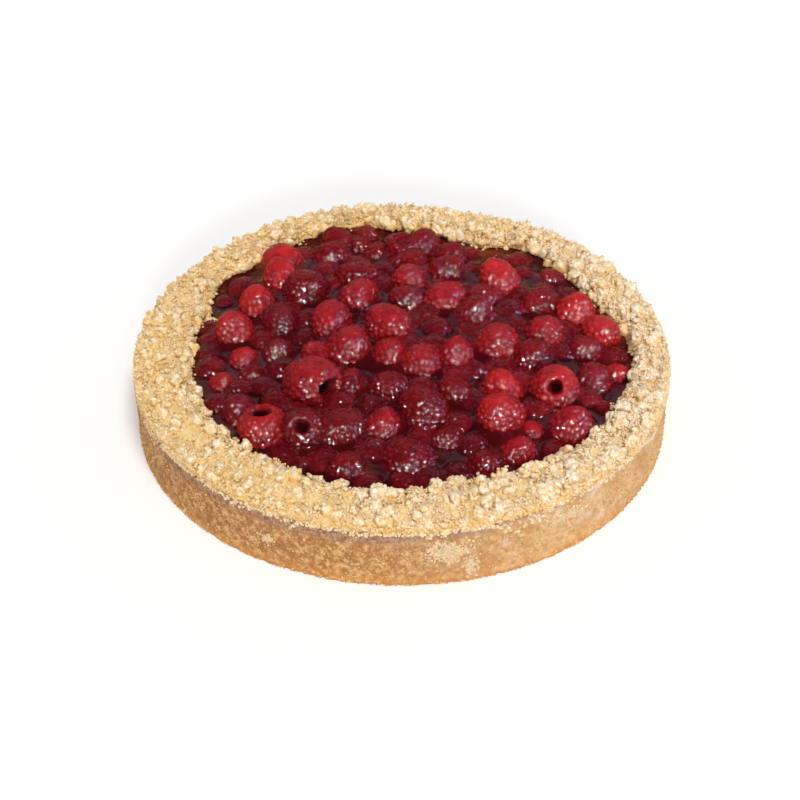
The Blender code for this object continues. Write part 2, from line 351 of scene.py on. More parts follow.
@dataclass
class Batch:
    """Many small shapes that become one joined mesh."""

    name: str
    points: list[np.ndarray] = field(default_factory=list)
    faces: list[np.ndarray] = field(default_factory=list)
    colours: list[np.ndarray] = field(default_factory=list)
    count: int = 0

    def add(self, points: np.ndarray, faces: np.ndarray, colours: np.ndarray) -> None:
        """Add one shape.

        Args:
            points: Its vertices, one row each.
            faces: Its triangles as rows of vertex numbers.
            colours: Its linear colours, one row for each vertex.
        """
        self.points.append(points)
        self.faces.append(faces + self.count)
        self.colours.append(colours)
        self.count += len(points)

    def joined(self, layer: str, smooth_faces: bool = True) -> bpy.types.Object:
        """Join every shape of the batch into one object.

        Args:
            layer: Name of the colour attribute.
            smooth_faces: True to shade its faces smooth.

        Returns:
            The new object, at the origin.
        """
        points = np.concatenate(self.points)
        faces = np.concatenate(self.faces)
        mesh = bpy.data.meshes.new(self.name)
        mesh.vertices.add(len(points))
        mesh.vertices.foreach_set("co", points.ravel())
        mesh.loops.add(faces.size)
        mesh.loops.foreach_set("vertex_index", faces.ravel())
        mesh.polygons.add(len(faces))
        mesh.polygons.foreach_set("loop_start", np.arange(len(faces)) * 3)
        mesh.update(calc_edges=True)
        mesh.polygons.foreach_set("use_smooth", np.full(len(faces), smooth_faces))
        piece = bpy.data.objects.new(self.name, mesh)
        bpy.context.scene.collection.objects.link(piece)
        paint(piece, layer, np.concatenate(self.colours))
        return piece


# Finishes


@dataclass(frozen=True)
class Mottle:
    """Soft patches in a finish: noise of one size, eased from 0 at a low level to 1 at a high one."""

    size: float
    low: float
    high: float
    detail: float = 3.0
    rough: float = 0.55


@dataclass(frozen=True)
class Band:
    """A colour round the crust that starts at one height, is full at another and has a ragged edge."""

    start: float
    full: float
    ragged_size: float
    ragged: float
    share: float
    colour: Colour


class Graph:
    """Builds one material's node tree on Object coordinates."""

    def __init__(self, name: str) -> None:
        """Start a Principled material.

        Args:
            name: Name of the material.
        """
        self.material = bpy.data.materials.new(name)
        self.material.use_nodes = True
        self.tree = self.material.node_tree
        self.shader = self.tree.nodes["Principled BSDF"]
        self.place = self.tree.nodes.new("ShaderNodeTexCoord").outputs["Object"]

    def set(self, values: dict[str, float | Colour]) -> None:
        """Set the shader's own sockets by name."""
        for name, value in values.items():
            self.feed(self.shader, name, value)

    def link(self, source: Socket, socket: str) -> None:
        """Feed one of the shader's sockets."""
        self.tree.links.new(source, self.shader.inputs[socket])

    def feed(self, node: bpy.types.Node, socket: int | str, value: Socket | float | Colour) -> None:
        """Give a node's input a value or a link.

        Args:
            node: The node.
            socket: Name or number of its input.
            value: A number, a colour or another node's output.
        """
        if isinstance(value, Socket):
            self.tree.links.new(value, node.inputs[socket])
        elif isinstance(value, tuple) and node.inputs[socket].type == "RGBA":
            node.inputs[socket].default_value = (*value, 1.0)
        else:
            node.inputs[socket].default_value = value

    def noise(self, size: float, detail: float = 3.0, rough: float = 0.55) -> Socket:
        """Make noise whose features are of one size.

        Args:
            size: The features' size in metres.
            detail: How many finer layers it has.
            rough: How strong each finer layer is.

        Returns:
            The noise, from 0 to 1.
        """
        node = self.tree.nodes.new("ShaderNodeTexNoise")
        self.feed(node, "Vector", self.place)
        self.feed(node, "Scale", 1.0 / size)
        self.feed(node, "Detail", detail)
        self.feed(node, "Roughness", rough)
        return node.outputs["Fac"]

    def grain(self, patches: Mottle) -> Socket:
        """Return a mottle's bare noise."""
        return self.noise(patches.size, patches.detail, patches.rough)

    def mottled(self, patches: Mottle) -> Socket:
        """Return a mottle's soft patches, from 0 to 1."""
        return self.step(self.grain(patches), patches.low, patches.high)

    def cells(self, size: float) -> Socket:
        """Make the distance to the nearest of many scattered points.

        Args:
            size: How far the points lie apart in metres.

        Returns:
            The distance as a share of the size.
        """
        node = self.tree.nodes.new("ShaderNodeTexVoronoi")
        self.feed(node, "Vector", self.place)
        self.feed(node, "Scale", 1.0 / size)
        return node.outputs["Distance"]

    def dots(self, size: float, full: float, gone: float) -> Socket:
        """Return round dots, a size apart: 1 up to the share full of it, and 0 from the share gone."""
        return self.minus(1.0, self.step(self.cells(size), full, gone))

    def domes(self, size: float, steepness: float = 2.2) -> Socket:
        """Return the height of many small round domes, a size apart, from about 0 to 1."""
        away = self.cells(size)
        return self.minus(1.0, self.times(self.times(away, away), steepness))

    def axis(self, name: str) -> Socket:
        """Read one coordinate of a place.

        Args:
            name: X, Y or Z.

        Returns:
            The coordinate in metres.
        """
        node = self.tree.nodes.new("ShaderNodeSeparateXYZ")
        self.feed(node, 0, self.place)
        return node.outputs[name]

    def painted(self, layer: str) -> Socket:
        """Read a colour attribute of the piece.

        Args:
            layer: Its name.

        Returns:
            The colour.
        """
        node = self.tree.nodes.new("ShaderNodeVertexColor")
        node.layer_name = layer
        return node.outputs["Color"]

    def sum(self, operation: str, first: Socket | float, second: Socket | float) -> Socket:
        """Do a sum on two values.

        Args:
            operation: Blender's name for the sum.
            first: The first value.
            second: The second value.

        Returns:
            The result.
        """
        node = self.tree.nodes.new("ShaderNodeMath")
        node.operation = operation
        self.feed(node, 0, first)
        self.feed(node, 1, second)
        return node.outputs[0]

    def plus(self, first: Socket | float, second: Socket | float) -> Socket:
        """Return two values added up."""
        return self.sum("ADD", first, second)

    def minus(self, first: Socket | float, second: Socket | float) -> Socket:
        """Return the first value less the second."""
        return self.sum("SUBTRACT", first, second)

    def times(self, first: Socket | float, second: Socket | float) -> Socket:
        """Return two values multiplied."""
        return self.sum("MULTIPLY", first, second)

    def step(self, value: Socket, low: float, high: float) -> Socket:
        """Ease a value into a step.

        Args:
            value: The value.
            low: Where the step is 0.
            high: Where the step is 1.

        Returns:
            The step.
        """
        node = self.tree.nodes.new("ShaderNodeMapRange")
        node.interpolation_type = "SMOOTHSTEP"
        self.feed(node, "Value", value)
        self.feed(node, "From Min", low)
        self.feed(node, "From Max", high)
        return node.outputs["Result"]

    def mix(
        self, share: Socket | float, first: Socket | Colour, second: Socket | Colour, how: str = "MIX"
    ) -> Socket:
        """Mix two colours.

        Args:
            share: How far the mix goes from the first to the second, from 0 to 1.
            first: The first colour.
            second: The second colour.
            how: Blender's name for the way of mixing.

        Returns:
            The mixed colour.
        """
        node = self.tree.nodes.new("ShaderNodeMix")
        node.data_type = "RGBA"
        node.blend_type = how
        self.feed(node, 0, share)
        self.feed(node, 6, first)
        self.feed(node, 7, second)
        return node.outputs[2]

    def tinted(self, colour: Socket | Colour, tone: Socket) -> Socket:
        """Return a colour multiplied by a tone."""
        return self.mix(1.0, colour, tone, "MULTIPLY")

    def bump(self, height: Socket, distance: float, under: Socket | None = None) -> Socket:
        """Return a normal bumped by a height between 0 and 1.

        Args:
            height: The height.
            distance: How far the height reaches in metres.
            under: A normal that this bump lies on, if any.

        Returns:
            The bumped normal.
        """
        node = self.tree.nodes.new("ShaderNodeBump")
        self.feed(node, "Height", height)
        self.feed(node, "Distance", distance)
        self.feed(node, "Strength", 1.0)
        if under is not None:
            self.feed(node, "Normal", under)
        return node.outputs["Normal"]


@dataclass(frozen=True)
class GelFinish:
    """Set raspberry gel: dark, wet and slightly wavy, with small bubbles and berries under its skin."""

    clouds: Mottle = Mottle(9.0 * MM, 0.35, 0.7)
    cloud_tones: tuple[Colour, Colour] = ((0.75, 0.72, 0.75), (1.12, 1.1, 1.1))
    roughness: float = 0.12
    dull_patches: Mottle = Mottle(5.0 * MM, 0.3, 0.8, 2.0)
    dull_extra: float = 0.10
    wave: float = 7.0 * MM
    wave_height: float = 0.22 * MM
    drupelet: float = 2.8 * MM
    drupelet_height: float = 0.42 * MM
    berry_red: Pair = (0.012, 0.030)
    bubble_gap: float = 4.2 * MM
    bubble_share: float = 0.22
    bubble_height: float = 0.35 * MM

    def material(self) -> bpy.types.Material:
        """Make the gel's material, which takes its colour from the painted depth.

        Returns:
            The material.
        """
        graph = Graph("set_gel")
        juice = graph.painted("Juice")
        tone = graph.mix(graph.mottled(self.clouds), *self.cloud_tones)
        graph.link(graph.tinted(juice, tone), "Base Color")
        dull = graph.times(graph.mottled(self.dull_patches), self.dull_extra)
        graph.link(graph.plus(dull, self.roughness), "Roughness")
        wavy = graph.bump(graph.noise(self.wave, 2.0), self.wave_height)
        veiled = graph.times(graph.step(juice, *self.berry_red), graph.domes(self.drupelet))
        wavy = graph.bump(veiled, self.drupelet_height, under=wavy)
        bubbles = graph.dots(self.bubble_gap, 0.0, self.bubble_share)
        graph.link(graph.bump(bubbles, self.bubble_height, under=wavy), "Normal")
        graph.set({"Specular IOR Level": 0.27, "Coat Weight": 0.15, "Coat Roughness": 0.10})
        return graph.material


@dataclass(frozen=True)
class BerryFinish:
    """Glazed raspberry skin: a matt red under a wet coat whose small domes make the glints."""

    name: str
    blush: float = 2.2 * MM
    blush_tones: tuple[Colour, Colour] = ((0.82, 0.78, 0.80), (1.15, 1.15, 1.15))
    wet_red: Pair = (0.012, 0.026)
    roughness: float = 0.45
    uneven_size: float = 3.0 * MM
    uneven_extra: float = 0.3
    dry_extra: float = 0.4
    pore: float = 1.3 * MM
    pore_height: float = 0.05 * MM
    glaze: float = 0.70
    sparkle: float = 2.0 * MM
    sparkle_height: float = 0.38 * MM

    def material(self) -> bpy.types.Material:
        """Make the skin's material, which takes its colour from the painted drupelets.

        Returns:
            The material.
        """
        graph = Graph(self.name)
        skin = graph.painted("Skin")
        tone = graph.mix(graph.noise(self.blush, 2.0), *self.blush_tones)
        graph.link(graph.tinted(skin, tone), "Base Color")
        wet = graph.step(skin, *self.wet_red)
        uneven = graph.plus(graph.times(graph.noise(self.uneven_size), self.uneven_extra), self.roughness)
        dry = graph.times(graph.minus(1.0, wet), self.dry_extra)
        graph.link(graph.plus(uneven, dry), "Roughness")
        graph.link(graph.bump(graph.noise(self.pore, 2.0), self.pore_height), "Normal")
        graph.link(graph.bump(graph.domes(self.sparkle), self.sparkle_height), "Coat Normal")
        graph.link(graph.times(wet, self.glaze), "Coat Weight")
        graph.set({"Specular IOR Level": 0.015, "Coat Roughness": 0.13})
        return graph.material


@dataclass(frozen=True)
class CrumbFinish:
    """Dry, sandy butter crumble with toasted patches, and painted shade and highlights on its grains."""

    name: str
    grain: Mottle = Mottle(1.0 * MM, 0.36, 0.62, 3.0, 0.6)
    grain_tones: tuple[Colour, Colour] = ((0.935, 0.785, 0.55), (1.01, 1.065, 1.15))
    grain_height: float = 0.16 * MM
    toasted: Mottle = Mottle(3.4 * MM, 0.58, 0.72)
    toasted_share: float = 0.24
    toasted_colour: Colour = (0.82, 0.50, 0.15)
    roughness: Mottle = Mottle(1.2 * MM, -1.8, 1.1)

    def material(self) -> bpy.types.Material:
        """Make the crumb's material, which takes its colour from the painted bake.

        Returns:
            The material.
        """
        graph = Graph(self.name)
        grains = graph.grain(self.grain)
        # Painted light: the grains that make the bump darken its pockets into golden shade and lighten its
        # peaks.
        tone = graph.mix(graph.step(grains, self.grain.low, self.grain.high), *self.grain_tones)
        baked = graph.tinted(graph.painted("Bake"), tone)
        toasted = graph.times(graph.mottled(self.toasted), self.toasted_share)
        graph.link(graph.mix(toasted, baked, self.toasted_colour), "Base Color")
        graph.link(graph.mottled(self.roughness), "Roughness")
        graph.link(graph.bump(grains, self.grain_height), "Normal")
        graph.set({"Specular IOR Level": 0.10})
        return graph.material


@dataclass(frozen=True)
class CrustFinish:
    """Baked shortcrust: dark and crumbly at the left, floury at the right, with a jam-stained rim."""

    rim: float
    turning_pale: Pair = (-30.0 * MM, 100.0 * MM)
    crumbly: Mottle = Mottle(3.4 * MM, 0.46, 0.60, 7.0, 0.76)
    left_tones: tuple[Colour, Colour] = ((0.39, 0.170, 0.058), (0.66, 0.415, 0.185))
    cloudy: Mottle = Mottle(14.0 * MM, 0.30, 0.70, 4.0)
    right_tones: tuple[Colour, Colour] = ((0.60, 0.335, 0.14), (0.71, 0.475, 0.25))
    grain: Mottle = Mottle(2.6 * MM, 0.36, 0.64, 4.0, 0.6)
    grain_tones: tuple[Colour, Colour] = ((0.88, 0.80, 0.68), (1.08, 1.09, 1.10))
    speck_gap: float = 1.5 * MM
    speck_shares: Pair = (0.18, 0.34)
    specked: Mottle = Mottle(8.0 * MM, 0.42, 0.60, 3.0, 0.6)
    speck_share: float = 0.60
    speck_colour: Colour = (0.88, 0.70, 0.45)
    pores: Mottle = Mottle(0.9 * MM, 0.60, 0.68, 2.0)
    pore_share: float = 0.25
    pore_colour: Colour = (0.34, 0.14, 0.04)
    flour: Mottle = Mottle(12.0 * MM, 0.50, 0.70, 6.0, 0.68)
    flour_share: float = 0.60
    flour_colour: Colour = (0.84, 0.72, 0.62)
    lower_side: Band = Band(13.0 * MM, 5.0 * MM, 6.0 * MM, 10.0 * MM, 0.50, (0.68, 0.30, 0.062))
    foot: Band = Band(4.8 * MM, 1.2 * MM, 4.0 * MM, 3.0 * MM, 0.75, (0.42, 0.17, 0.040))
    jam_edge: Pair = (0.8 * MM, 5.4 * MM)
    jam_notch: Mottle = Mottle(4.5 * MM, 0.0, 1.0, 5.0, 0.7)
    jam_ragged: float = 7.0 * MM
    jam_reach: float = 5.2 * MM
    jam_share: float = 0.80
    jam_tones: tuple[Colour, Colour] = ((0.20, 0.085, 0.060), (0.46, 0.29, 0.27))
    jam_crumbs: Mottle = Mottle(1.8 * MM, 0.42, 0.60, 5.0, 0.8)
    jam_crumb_colour: Colour = (0.50, 0.30, 0.19)
    roughness: Mottle = Mottle(2.0 * MM, -1.6, 1.2)
    coarse: Mottle = Mottle(3.2 * MM, 0.0, 1.0, 4.0, 0.6)
    coarse_height: float = 0.40 * MM
    fine: Mottle = Mottle(0.8 * MM, 0.0, 1.0, 3.0, 0.6)
    fine_height: float = 0.18 * MM

    def dough(self, graph: Graph, right: Socket) -> Socket:
        """Mix the bare crust's colour, from the left's tone to the right's.

        Args:
            graph: The material's graph.
            right: How far to the right a place lies, from 0 to 1.

        Returns:
            The colour.
        """
        left_tone = graph.mix(graph.mottled(self.crumbly), *self.left_tones)
        right_tone = graph.mix(graph.mottled(self.cloudy), *self.right_tones)
        grain = graph.mix(graph.mottled(self.grain), *self.grain_tones)
        return graph.tinted(graph.mix(right, left_tone, right_tone), grain)

    def dusted(self, graph: Graph, base: Socket, right: Socket) -> Socket:
        """Lay pale specks, dark pores and flour on the crust.

        Args:
            graph: The material's graph.
            base: The crust's colour so far.
            right: How far to the right a place lies, from 0 to 1.

        Returns:
            The colour with all three.
        """
        specks = graph.dots(self.speck_gap, *self.speck_shares)
        specks = graph.times(specks, graph.times(graph.mottled(self.specked), self.speck_share))
        base = graph.mix(specks, base, self.speck_colour)
        base = graph.mix(graph.times(graph.mottled(self.pores), self.pore_share), base, self.pore_colour)
        flour = graph.times(graph.mottled(self.flour), graph.times(right, self.flour_share))
        return graph.mix(flour, base, self.flour_colour)

    def banded(self, graph: Graph, base: Socket, height: Socket, band: Band) -> Socket:
        """Lay one band of colour round the crust.

        Args:
            graph: The material's graph.
            base: The crust's colour so far.
            height: The height of a place in metres.
            band: The band.

        Returns:
            The colour with the band.
        """
        ragged = graph.times(graph.noise(band.ragged_size), band.ragged)
        shown = graph.step(graph.plus(height, ragged), band.start, band.full)
        return graph.mix(graph.times(shown, band.share), base, band.colour)

    def stained(self, graph: Graph, base: Socket, height: Socket, right: Socket) -> Socket:
        """Stain the rim with jam, further down at the left.

        Args:
            graph: The material's graph.
            base: The crust's colour so far.
            height: The height of a place in metres.
            right: How far to the right a place lies, from 0 to 1.

        Returns:
            The colour with the stain.
        """
        broken = graph.times(graph.grain(self.jam_notch), self.jam_ragged)
        broken = graph.plus(broken, graph.times(graph.minus(1.0, right), self.jam_reach))
        start, full = (self.rim + edge for edge in self.jam_edge)
        stain = graph.step(graph.plus(height, broken), start, full)
        jam = graph.mix(right, *self.jam_tones)
        jam = graph.mix(graph.mottled(self.jam_crumbs), jam, self.jam_crumb_colour)
        return graph.mix(graph.times(stain, self.jam_share), base, jam)

    def material(self) -> bpy.types.Material:
        """Make the crust's material.

        Returns:
            The material.
        """
        graph = Graph("shortcrust")
        height = graph.axis("Z")
        right = graph.step(graph.axis("X"), *self.turning_pale)
        base = self.dusted(graph, self.dough(graph, right), right)
        base = self.banded(graph, base, height, self.lower_side)
        base = self.banded(graph, base, height, self.foot)
        graph.link(self.stained(graph, base, height, right), "Base Color")
        graph.link(graph.mottled(self.roughness), "Roughness")
        coarse = graph.bump(graph.grain(self.coarse), self.coarse_height)
        graph.link(graph.bump(graph.grain(self.fine), self.fine_height, under=coarse), "Normal")
        graph.set({"Specular IOR Level": 0.10})
        return graph.material


@dataclass(frozen=True)
class FloorFinish:
    """A plain pale floor."""

    colour: Colour = (0.985, 0.995, 1.0)

    def material(self) -> bpy.types.Material:
        """Make the floor's material.

        Returns:
            The material.
        """
        graph = Graph("pale_floor")
        graph.set({"Base Color": self.colour, "Roughness": 1.0, "Specular IOR Level": 0.0})
        return graph.material


# Raspberry filling


THIN_GEL: Colour = (0.13, 0.0038, 0.0065)


class Seat(Enum):
    """How high a raspberry sits, as the share of its radius that stands above the gel."""

    HEAPED = 1.30
    PROUD = 1.02
    LOW = 0.70
    HOLLOW = 1.0
    SUNKEN = 0.46
    DROWNED = 0.36

    @property
    def veiled(self) -> bool:
        """Tell whether gel covers the whole raspberry."""
        return self.value < 0.5


class Tone(Enum):
    """How a raspberry's skin looks through its glaze: its colour, and how far gel fills its grooves."""

    BRIGHT = ((0.45, 0.013, 0.015), 0.75)
    PINK = ((0.36, 0.009, 0.014), 0.50)
    DEEP = ((0.195, 0.003, 0.006), 0.55)
    VEILED = ((0.22, 0.007, 0.013), 0.60)
    DIM = ((0.16, 0.005, 0.010), 0.60)

    @property
    def colour(self) -> Colour:
        """Return the skin's linear colour."""
        return self.value[0]

    @property
    def filled(self) -> float:
        """Return how far gel fills the grooves on top, from 0 to 1."""
        return self.value[1]


@dataclass(frozen=True)
class Pit:
    """The hollow end of a raspberry, where it shows.

    It leans from upright and turns from the front, both in degrees. Its width, in radians, and its
    depth are shares of the berry's radius, and its shade says how dark the painted shade inside it is.
    """

    lean: float
    turn: float
    width: float
    depth: float
    shade: float

    @property
    def pose(self) -> Euler:
        """Return the pose of a berry whose hollow end faces this way."""
        return Euler((math.pi + math.radians(self.lean), 0.0, math.radians(self.turn)))


@dataclass
class Berry:
    """One raspberry in its place."""

    x: float
    y: float
    radius: float
    seat: Seat
    tone: Tone
    pose: Euler
    pit: Pit | None = None
    middle: Vector = field(init=False)
    contact: float = field(init=False)

    def __post_init__(self) -> None:
        """Work out the berry's middle, and how wide it is where it meets the gel."""
        ground = float(SIZES.dome(np.array(math.hypot(self.x, self.y))))
        drop = self.radius * (1.0 - self.seat.value)
        self.middle = Vector((self.x, self.y, ground - drop))
        self.contact = math.sqrt(max(self.radius**2 - drop**2, 0.0))


@dataclass(frozen=True)
class Fill:
    """A seeded search for room: how many places are tried, the radii, the spacing and the seat.

    The spacing is the smallest distance of two berries, as a share of their radii's sum.
    """

    tries: int
    radii: Pair
    spacing: float
    seat: Seat


Spot = tuple[float, float, float, Tone]
HollowSpot = tuple[float, float, float, Tone, Seat, Pit]


@dataclass
class BerryPlaces:
    """Where the raspberries lie: named ones first, then seeded fills of the room left.

    A named place is X, Y and the berry's radius in millimetres, and its tone.
    """

    heaped: tuple[Spot, ...] = (
        (-64, 63, 9.0, Tone.BRIGHT), (4, 56, 8.0, Tone.PINK), (51, 59, 9.5, Tone.BRIGHT),
        (-75, 37, 8.5, Tone.BRIGHT), (2, 35, 7.5, Tone.DEEP), (90, 32, 9.0, Tone.BRIGHT),
        (-85, 14, 9.0, Tone.BRIGHT), (-62, 19, 8.5, Tone.DEEP), (-36, 16, 9.0, Tone.PINK),
        (-7, 11, 10.0, Tone.PINK), (72, 9, 9.0, Tone.PINK), (103, 14, 9.0, Tone.BRIGHT),
        (-26, -8, 9.5, Tone.PINK), (27, -12, 7.5, Tone.PINK), (46, -57, 10.0, Tone.BRIGHT),
        (10, -55, 10.0, Tone.DEEP), (25, -40, 6.5, Tone.DEEP),
    )
    proud: tuple[Spot, ...] = (
        (-38, 87, 9.0, Tone.DEEP), (-65, 81, 10.5, Tone.BRIGHT), (-24, 61, 9.5, Tone.DEEP),
        (24, 68, 9.0, Tone.DEEP), (-50, 50, 11.5, Tone.DEEP), (-22, 42, 9.0, Tone.PINK),
        (23, 39, 9.5, Tone.PINK), (71, 38, 9.0, Tone.DEEP), (38, 25, 9.5, Tone.VEILED),
        (48, 1, 10.0, Tone.PINK), (10, -17, 9.0, Tone.PINK), (48, -36, 9.0, Tone.BRIGHT),
        (-28, -65, 10.0, Tone.DEEP), (80, -60, 10.0, Tone.PINK), (-25, -90, 7.5, Tone.DEEP),
        (64, -9, 9.0, Tone.DEEP), (-6, -11, 8.0, Tone.PINK), (81, 68, 6.0, Tone.VEILED),
        (-25, -33, 6.5, Tone.DEEP), (-42, -11, 7.5, Tone.PINK),
    )
    low: tuple[Spot, ...] = (
        (-37, 111, 9.5, Tone.DEEP), (13, 111, 10.5, Tone.DEEP), (25, 87, 10.0, Tone.DEEP),
        (4, 80, 9.0, Tone.DEEP), (-6, -35, 9.5, Tone.DEEP), (-9, -62, 8.5, Tone.PINK),
        (2, -82, 11.0, Tone.DEEP), (38, -86, 8.0, Tone.DEEP), (54, -77, 8.0, Tone.PINK),
        (43, 44, 9.0, Tone.VEILED), (92, 3, 9.0, Tone.VEILED), (95, -21, 9.0, Tone.VEILED),
        (-77, -48, 9.0, Tone.VEILED), (-14, 92, 6.5, Tone.DEEP), (-23, 103, 6.5, Tone.DEEP),
        (21, -70, 6.5, Tone.DEEP), (-88, -25, 6.0, Tone.BRIGHT), (-73, -21, 6.0, Tone.DEEP),
        (111, -17, 6.5, Tone.BRIGHT), (-79, -7, 6.5, Tone.BRIGHT), (-62, -3, 7.5, Tone.VEILED),
        (61, -62, 5.0, Tone.PINK), (-22, 121, 7.5, Tone.DEEP), (109, 41, 6.0, Tone.DEEP),
    )
    sunken: tuple[Spot, ...] = (
        (-85, 61, 11.0, Tone.VEILED), (65, 88, 9.0, Tone.VEILED), (53, 85, 8.0, Tone.DEEP),
        (18, 14, 8.5, Tone.VEILED), (-97, 11, 7.0, Tone.VEILED), (36, -20, 6.5, Tone.VEILED),
        (-103, 53, 6.0, Tone.VEILED), (-48, -85, 6.0, Tone.VEILED), (0, -97, 7.0, Tone.DEEP),
        (71, -75, 6.5, Tone.VEILED), (100, -44, 6.0, Tone.DEEP),
    )
    hollow: tuple[HollowSpot, ...] = (
        (1, 94, 8.5, Tone.DEEP, Seat.HOLLOW, Pit(12, 0, 0.50, 0.16, 0.3)),
        (74, -35, 10.0, Tone.BRIGHT, Seat.HEAPED, Pit(52, -8, 0.27, 0.90, 0.95)),
        (-65, -66, 10.2, Tone.BRIGHT, Seat.HEAPED, Pit(-12, 14, 0.40, 0.42, 0.92)),
        (-46, -67, 9.3, Tone.DEEP, Seat.HEAPED, Pit(40, 0, 0.30, 0.40, 0.90)),
        (-44, -35, 12.0, Tone.PINK, Seat.HEAPED, Pit(76, 50, 0.40, 0.62, 0.97)),
    )
    fills: tuple[Fill, ...] = (
        Fill(700, (7.4 * MM, 9.4 * MM), 0.78, Seat.SUNKEN),
        Fill(1500, (8.0 * MM, 10.5 * MM), 0.68, Seat.DROWNED),
    )
    fill_tones: tuple[Tone, ...] = (Tone.VEILED, Tone.DIM)
    fill_reach: float = 1.12
    seed: int = 11
    length: float = 1.12
    to_crumble: float = 0.8 * MM
    placed_lean: Pair = (0.2, 1.5)
    sunken_lean: Pair = (0.0, 0.4)

    def pulled_inside(self, x: float, y: float, radius: float, seat: Seat) -> Pair:
        """Move a place towards the middle until the berry clears the crumble.

        Args:
            x: The berry's place along X.
            y: The berry's place along Y.
            radius: The berry's radius.
            seat: How high it sits.

        Returns:
            The place, moved if it has to be.
        """
        reach = math.hypot(x, y)
        turn = math.atan2(y, x)
        half_width = radius / max(reach, radius)
        edge = min(EDGE.radius(turn + side * half_width) for side in (-1.0, -0.5, 0.0, 0.5, 1.0))
        shown = math.sqrt(1.0 - (1.0 - min(seat.value, 1.0)) ** 2)
        furthest = edge - shown * radius * self.length - self.to_crumble
        if reach <= furthest:
            return x, y
        return x * furthest / reach, y * furthest / reach

    def filled(self, taken: list[tuple], fill: Fill, draw: random.Random) -> list[tuple]:
        """Find room for more raspberries that the gel nearly covers.

        Args:
            taken: Places that are taken, as (x, y, radius) and more.
            fill: What is looked for.
            draw: Source of the places.

        Returns:
            The new places, as (x, y, radius, seat, tone).
        """
        found = []
        for _ in range(fill.tries):
            angle = draw.uniform(0.0, math.tau)
            reach = SIZES.dome_radius * self.fill_reach * math.sqrt(draw.random())
            radius = draw.uniform(*fill.radii)
            x, y = self.pulled_inside(reach * math.cos(angle), reach * math.sin(angle), radius, fill.seat)
            crowded = any(
                math.hypot(x - spot[0], y - spot[1]) < fill.spacing * (radius + spot[2])
                for spot in taken + found
            )
            if not crowded:
                found.append((x, y, radius, fill.seat, draw.choice(self.fill_tones)))
        return found

    def berries(self) -> list[Berry]:
        """Lay every raspberry in its place, leaning as its solid does.

        Returns:
            The raspberries.
        """
        groups = (
            (self.heaped, Seat.HEAPED), (self.proud, Seat.PROUD), (self.low, Seat.LOW),
            (self.sunken, Seat.SUNKEN),
        )
        spots = []
        for group, seat in groups:
            for x, y, radius, tone in group:
                place = self.pulled_inside(x * MM, y * MM, radius * MM, seat)
                spots.append((*place, radius * MM, seat, tone))
        hollows = [(x * MM, y * MM, radius * MM) for x, y, radius, *_ in self.hollow]
        draw = random.Random(self.seed)
        for fill in self.fills:
            spots += self.filled(spots + hollows, fill, draw)
        draw = random.Random(self.seed)
        berries = []
        for x, y, radius, seat, tone in spots:
            lean = draw.uniform(*(self.sunken_lean if seat.veiled else self.placed_lean))
            pose = Euler((lean, 0.0, draw.uniform(0.0, math.tau)))
            berries.append(Berry(x, y, radius, seat, tone, pose))
        for x, y, radius, tone, seat, pit in self.hollow:
            berries.append(Berry(x * MM, y * MM, radius * MM, seat, tone, pit.pose, pit))
        return berries


def painted_side_light(x: np.ndarray | float, y: np.ndarray | float) -> np.ndarray | float:
    """Return the painted light across the filling: darker towards the front left, where less light falls.
    """
    middle, to_right, to_back = 0.94, 0.13, 0.10
    return middle + (to_right * x + to_back * y) / SIZES.dome_radius


